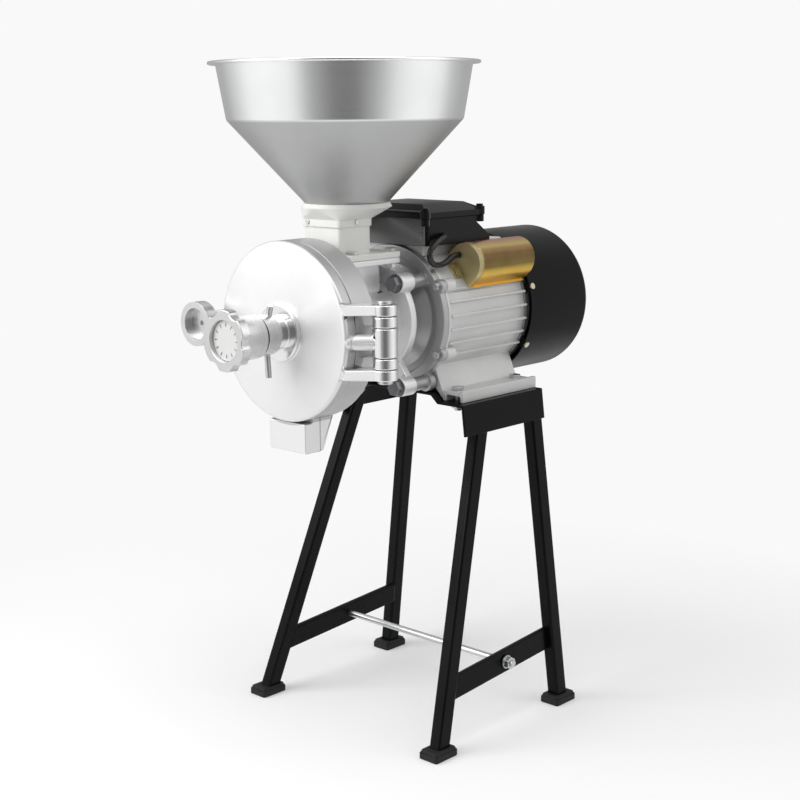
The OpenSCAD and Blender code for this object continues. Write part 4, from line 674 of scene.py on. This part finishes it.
finishes = {
    "black_enamel": plainFinish(
        "blackEnamel", (0.003, 0.003, 0.0032), (0.005, 0.005, 0.0052), 0.27, worn=(0.05, 0.05, 0.05),
        wornAmount=0.35, scale=700.0, depth=0.00005, Specular_IOR_Level=0.1),
    "black_rubber": plainFinish(
        "blackRubber", (0.009, 0.009, 0.009), (0.014, 0.014, 0.014), 0.62, worn=(0.05, 0.05, 0.048),
        wornAmount=0.5, scale=900.0, depth=0.0001, Specular_IOR_Level=0.3),
    "zinc_hardware": plainFinish(
        "zincHardware", (0.66, 0.67, 0.67), (0.55, 0.56, 0.57), 0.32, 1.0, worn=(0.8, 0.8, 0.8),
        wornAmount=0.5, scale=800.0, depth=0.00003, edge=0.0004),
    "cast_aluminium": plainFinish(
        "castAluminium", (0.74, 0.74, 0.735), (0.68, 0.68, 0.675), 0.48, 0.3, worn=(0.78, 0.78, 0.78),
        wornAmount=0.6, scale=420.0, depth=0.00012, pits=0.25),
    "shield_aluminium": plainFinish(
        "shieldAluminium", (0.47, 0.47, 0.475), (0.41, 0.41, 0.415), 0.42, 0.7, worn=(0.72, 0.72, 0.72),
        wornAmount=0.6, scale=380.0, depth=0.00014, pits=0.3),
    "core_steel": plainFinish(
        "coreSteel", (0.33, 0.34, 0.36), (0.26, 0.26, 0.27), 0.45, 1.0, scale=600.0, depth=0.00003,
        turned=shaftTurned(2600.0)),
    "copper_winding": plainFinish(
        "copperWinding", (0.50, 0.17, 0.06), (0.38, 0.11, 0.04), 0.35, 0.8, worn=(0.7, 0.35, 0.18),
        wornAmount=0.3, scale=900.0, depth=0.00004, Coat_Weight=0.5),
    "ground_steel": plainFinish(
        "groundSteel", (0.62, 0.63, 0.64), (0.55, 0.56, 0.57), 0.24, 1.0, worn=(0.75, 0.75, 0.75),
        wornAmount=0.4, scale=900.0, depth=0.00002, edge=0.0004, turned=shaftTurned(4200.0)),
    # the black box's front wall is painted grey: painted light
    "black_plastic": tinted(plainFinish(
        "blackPlastic", (0.005, 0.005, 0.0053), (0.0075, 0.0075, 0.0078), 0.3, worn=(0.05, 0.05, 0.05),
        wornAmount=0.4, scale=1100.0, depth=0.00005, Specular_IOR_Level=0.18), boxFrontPaintedLight, (0.2, 0.2, 0.2)),
    "lead_sheath": plainFinish(
        "leadSheath", (0.006, 0.006, 0.006), (0.01, 0.01, 0.01), 0.42, scale=1500.0, depth=0.00003),
    "capacitor_case": plainFinish(
        "capacitorCase", (0.62, 0.62, 0.58), (0.56, 0.56, 0.52), 0.4, scale=900.0, depth=0.00003),
    "terminal_resin": plainFinish(
        "terminalResin", (0.16, 0.07, 0.035), (0.12, 0.05, 0.025), 0.4, scale=900.0, depth=0.00004),
    # the sides of the drum and of the door get a darker copy of the silver: painted shade
    "silver_casting": shone(tinted(plainFinish(
        "silverCasting", (0.86, 0.86, 0.865), (0.82, 0.82, 0.825), 0.4, 0.55, worn=(0.92, 0.92, 0.92),
        wornAmount=0.4, scale=330.0, depth=0.0001, roughSpread=0.06, edge=0.0009),
        drumSidesPaintedShade, (0.54, 0.54, 0.545)), machinedZones, 1.0, 0.2),
    "burr_iron": plainFinish(
        "burrIron", (0.15, 0.15, 0.155), (0.1, 0.098, 0.095), 0.5, 0.85, worn=(0.45, 0.45, 0.45),
        wornAmount=0.8, scale=380.0, depth=0.00018, pits=0.5),
    "seal_rubber": plainFinish(
        "sealRubber", (0.035, 0.022, 0.018), (0.045, 0.03, 0.025), 0.5, scale=900.0, depth=0.00004),
    "polished_steel": tinted(plainFinish(
        "polishedSteel", (0.68, 0.68, 0.68), (0.62, 0.62, 0.62), 0.3, 0.9, worn=(0.88, 0.88, 0.88),
        wornAmount=0.5, scale=700.0, depth=0.00002, roughSpread=0.1, edge=0.0006,
        turned=shaftTurned(3000.0)), boltZone, (0.2, 0.2, 0.21)),
    "dial_paint": tinted(plainFinish(
        "dialPaint", (0.80, 0.80, 0.79), (0.74, 0.74, 0.73), 0.4, 0.3, worn=(0.5, 0.5, 0.5),
        wornAmount=0.5, scale=900.0, depth=0.00004, edge=0.0003), tickZone, (0.12, 0.12, 0.12)),
    "cream_casting": plainFinish(
        "creamCasting", (0.93, 0.93, 0.90), (0.89, 0.89, 0.855), 0.4, worn=(0.6, 0.6, 0.57),
        wornAmount=0.35, scale=420.0, depth=0.0001, pits=0.1, edge=0.001, Coat_Weight=0.15),
    "hopper_steel": hopperFinish(hopperLooks),
    "gold_zinc": tinted(goldFinish(goldLooks), coverScrews, (0.62, 0.57, 0.42)),
}
for entry in frame["record"]["subparts"]:
    mesh = frame["nodes"][entry["node"]].data
    mesh.materials.clear()
    mesh.materials.append(finishes[entry["material_slot"]])
print("finishes made")


# floor

floorSizes = {
    "radius": 0.9, "sides": 96, "near": 0.45, "far": 0.85, "colour": 0.78, "lift": 0.22,
    "white": studio["white"],
}


def layFloor(s):
    # a pale disc under the feet; camera, mirror and glass rays see it fade to the white of the room, from
    # near to far, and it keeps the shadow: shade = (1 - fade) (colour x light + lift) + fade x white
    t = np.linspace(0, 2 * math.pi, s["sides"], endpoint=False)
    points = np.stack([s["radius"] * np.cos(t), s["radius"] * np.sin(t), 0 * t], -1)
    mesh = bpy.data.meshes.new("floor")
    mesh.from_pydata(points.tolist(), [], [tuple(range(s["sides"]))])
    piece = bpy.data.objects.new("floor", mesh)
    bpy.context.scene.collection.objects.link(piece)
    material, tree, inputs = newFinish("paleFloor", Roughness=0.9, Specular_IOR_Level=0.0)
    inputs["Emission Color"].default_value = (1, 1, 1, 1)
    path = put(tree, "ShaderNodeLightPath").outputs
    seen = mathNode(tree, "MAXIMUM", path["Is Camera Ray"], path["Is Transmission Ray"])
    seen = mathNode(tree, "MAXIMUM", seen, path["Is Glossy Ray"])
    away = vectorNode(tree, "LENGTH", objectPlace(tree))
    fade = mathNode(tree, "MULTIPLY", seen, rescale(tree, away, 0.0, 1.0, s["near"], s["far"]))
    feed(tree, inputs["Base Color"], mixColour(tree, fade, (s["colour"],) * 3, (0.0, 0.0, 0.0)))
    level = rescale(tree, fade, s["lift"], s["white"])
    feed(tree, inputs["Emission Strength"], mathNode(tree, "MULTIPLY", seen, level))
    mesh.materials.append(material)


layFloor(floorSizes)


# the mill's and stand's castings, with rounded edges

rounding = {
    # edge radius in mm and segments, and where they differ the least angle in degrees and the weld in m
    "mill_door": (1.4, 3, 50),
    "mill_housing": (1.5, 2),
    "front_shield": (1.2, 2),
    "motor_frame": (0.8, 2, 30, 2e-5),
    "inlet_neck": (1.4, 3),
    "adjust_knob": (1.1, 3),
    "lock_ring": (0.4, 2),
    "knob_dial": (0.25, 2),
    "capacitor_cover": (0.35, 2),
    "terminal_box": (0.8, 2),
    "terminal_lid": (0.9, 3),
    "saddle": (0.8, 3),
    "foot_pads": (1.2, 2),
    "motor_foot_bolts": (0.5, 2),
    "housing_bolts": (0.7, 2),
    "shield_bolts": (0.4, 2),
    "flange_bolts": (0.5, 2),
    "stand_nuts": (0.5, 2),
    "fan_cover": (0.5, 2),
    "cable_gland": (0.4, 2),
    "hinge_pin": (0.9, 2),
}
for node, (width, *rest) in rounding.items():
    softEdged(node, width * mm, *rest)
print("castings rounded")


# hopper

hopperSizes = {
    "rim": 150.0, "roll": 1.9, "top": 769.0, "bandTop": 141.5, "waist": 131.0, "waistHeight": 706.0,
    "throat": 46.8, "base": 615.0, "spigot": 5.5, "sheet": 1.5, "bend": 5.0, "tightBend": 3.0,
    "lipBend": 2.0, "lipGap": 0.6, "lipStart": 0.2, "lipEnd": 0.4, "waistShares": (1.05, 0.5), "baseShare": 0.4,
}


def bendAt(before, corner, after, radius, steps=7):
    # a round corner: points of the circle that touches both lines at the corner
    before, corner, after = (np.array(p, float) for p in (before, corner, after))
    a = (before - corner) / np.linalg.norm(before - corner)
    b = (after - corner) / np.linalg.norm(after - corner)
    half = math.acos(np.clip(a @ b, -1, 1)) / 2
    reach = radius / math.tan(half)
    centre = corner + (a + b) / np.linalg.norm(a + b) * radius / math.sin(half)
    first, last = corner + a * reach - centre, corner + b * reach - centre
    t = np.linspace(0, 1, steps)[:, None]
    turn = math.acos(np.clip(first @ last / radius**2, -1, 1))
    return centre + (np.sin((1 - t) * turn) * first + np.sin(t * turn) * last) / math.sin(turn)


def hopperProfile(s):
    # outside from the spigot up over the rolled rim, then the inside down again
    outer = [
        (s["throat"], s["base"] - s["spigot"]),
        (s["throat"], s["base"]),
        (s["waist"], s["waistHeight"]),
        (s["bandTop"], s["top"] - s["sheet"] - s["lipGap"]),
    ]
    centre = (s["rim"] - s["roll"], s["top"] - s["roll"])
    lip = s["top"] - s["sheet"]
    lipStart = (s["bandTop"], lip - s["lipStart"])
    lipEnd = (s["rim"] - 2 * s["roll"], lip - s["lipEnd"])
    t = s["sheet"]
    inward, upward = s["waistShares"]
    inner = [
        (s["bandTop"] - t, s["top"]),
        (s["waist"] - t * inward, s["waistHeight"] + t * upward),
        (s["throat"] - t, s["base"] + t * s["baseShare"]),
        (s["throat"] - t, s["base"] - s["spigot"]),
    ]
    parts = [
        [outer[0]],
        bendAt(outer[0], outer[1], outer[2], s["tightBend"]),
        bendAt(outer[1], outer[2], outer[3], s["bend"]),
        bendAt(outer[2], lipStart, lipEnd, s["lipBend"]),
        arc(*centre, s["roll"], 170, 190, 2)[:1],
        arc(*centre, s["roll"], 190, 450, 26),
        bendAt((s["rim"] - 2 * s["roll"], s["top"]), inner[0], inner[1], s["tightBend"]),
        bendAt(inner[0], inner[1], inner[2], s["bend"] + t),
        bendAt(inner[1], inner[2], inner[3], s["tightBend"]),
        [inner[3]],
    ]
    return np.vstack([np.asarray(p, float) for p in parts])


profile = hopperProfile(hopperSizes) * mm
hopper = revolve("hopper_spun", profile, upright(*hopperAxis), "hopper_steel", "frame", 192, 30)
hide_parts("hopper")
print("hopper made")


# lead to the capacitor

leadSizes = {
    "radius": 3.4,
    "rows": 120,
    "route": (
        (52, -8, 574), (62, -8, 574), (67, -13, 573.5), (68.5, -21, 571), (69, -30, 566.5),
        (68.5, -37, 560), (68, -38, 552), (66.5, -30, 544), (64.5, -16, 542), (64, -5, 544.5),
        (63, 6, 549), (63, 13, 550.8), (63, 22, 550.8),
    ),
}
leadPath = smoothPath(np.array(leadSizes["route"]) * mm, leadSizes["rows"])
lead = tube("lead_sheath", leadPath, leadSizes["radius"] * mm, "lead_sheath", "frame")
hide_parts("capacitor_lead")


# windings of the motor

coilSizes = {
    "inner": 45.4, "wide": 18.0, "high": 17.0, "strands": 22, "lay": 5, "depth": 0.35, "squareness": 5,
    "rows": 240, "ring": 132,
}


def windCoil(name, y, s):
    # a rounded-square section round the shaft, (|cos v|^n + |sin v|^n)^(-1/n) out for squareness n; its
    # ridges follow |cos((strands v + lay u) / 2)|
    u = np.linspace(0, 2 * math.pi, s["rows"], endpoint=False)[:, None]
    v = np.linspace(0, 2 * math.pi, s["ring"], endpoint=False)[None, :]
    ridge = s["depth"] * (np.abs(np.cos(0.5 * (s["strands"] * v + s["lay"] * u))) - 1)
    c, q = np.cos(v), np.sin(v)
    n = s["squareness"]
    square = (np.abs(c) ** n + np.abs(q) ** n) ** (-1 / n)
    across = (s["wide"] / 2 + ridge) * c * square
    along = (s["high"] / 2 + ridge) * q * square
    radius = s["inner"] + s["wide"] / 2 + across
    height = shaftZ / mm + radius * np.sin(u)
    points = np.stack([radius * np.cos(u), y + along + 0 * u, height], -1) * mm
    faces = gridFaces(s["rows"], s["ring"], True, True)
    piece = addMesh(name, points, faces, "copper_winding", "frame", 60)
    outward(piece.data)
    return piece


low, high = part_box("stator_winding")
coilFront = windCoil("winding_front", low.y / mm + coilSizes["high"] / 2, coilSizes)
windCoil("winding_rear", high.y / mm - coilSizes["high"] / 2, coilSizes)
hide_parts("stator_winding")
print("windings made")
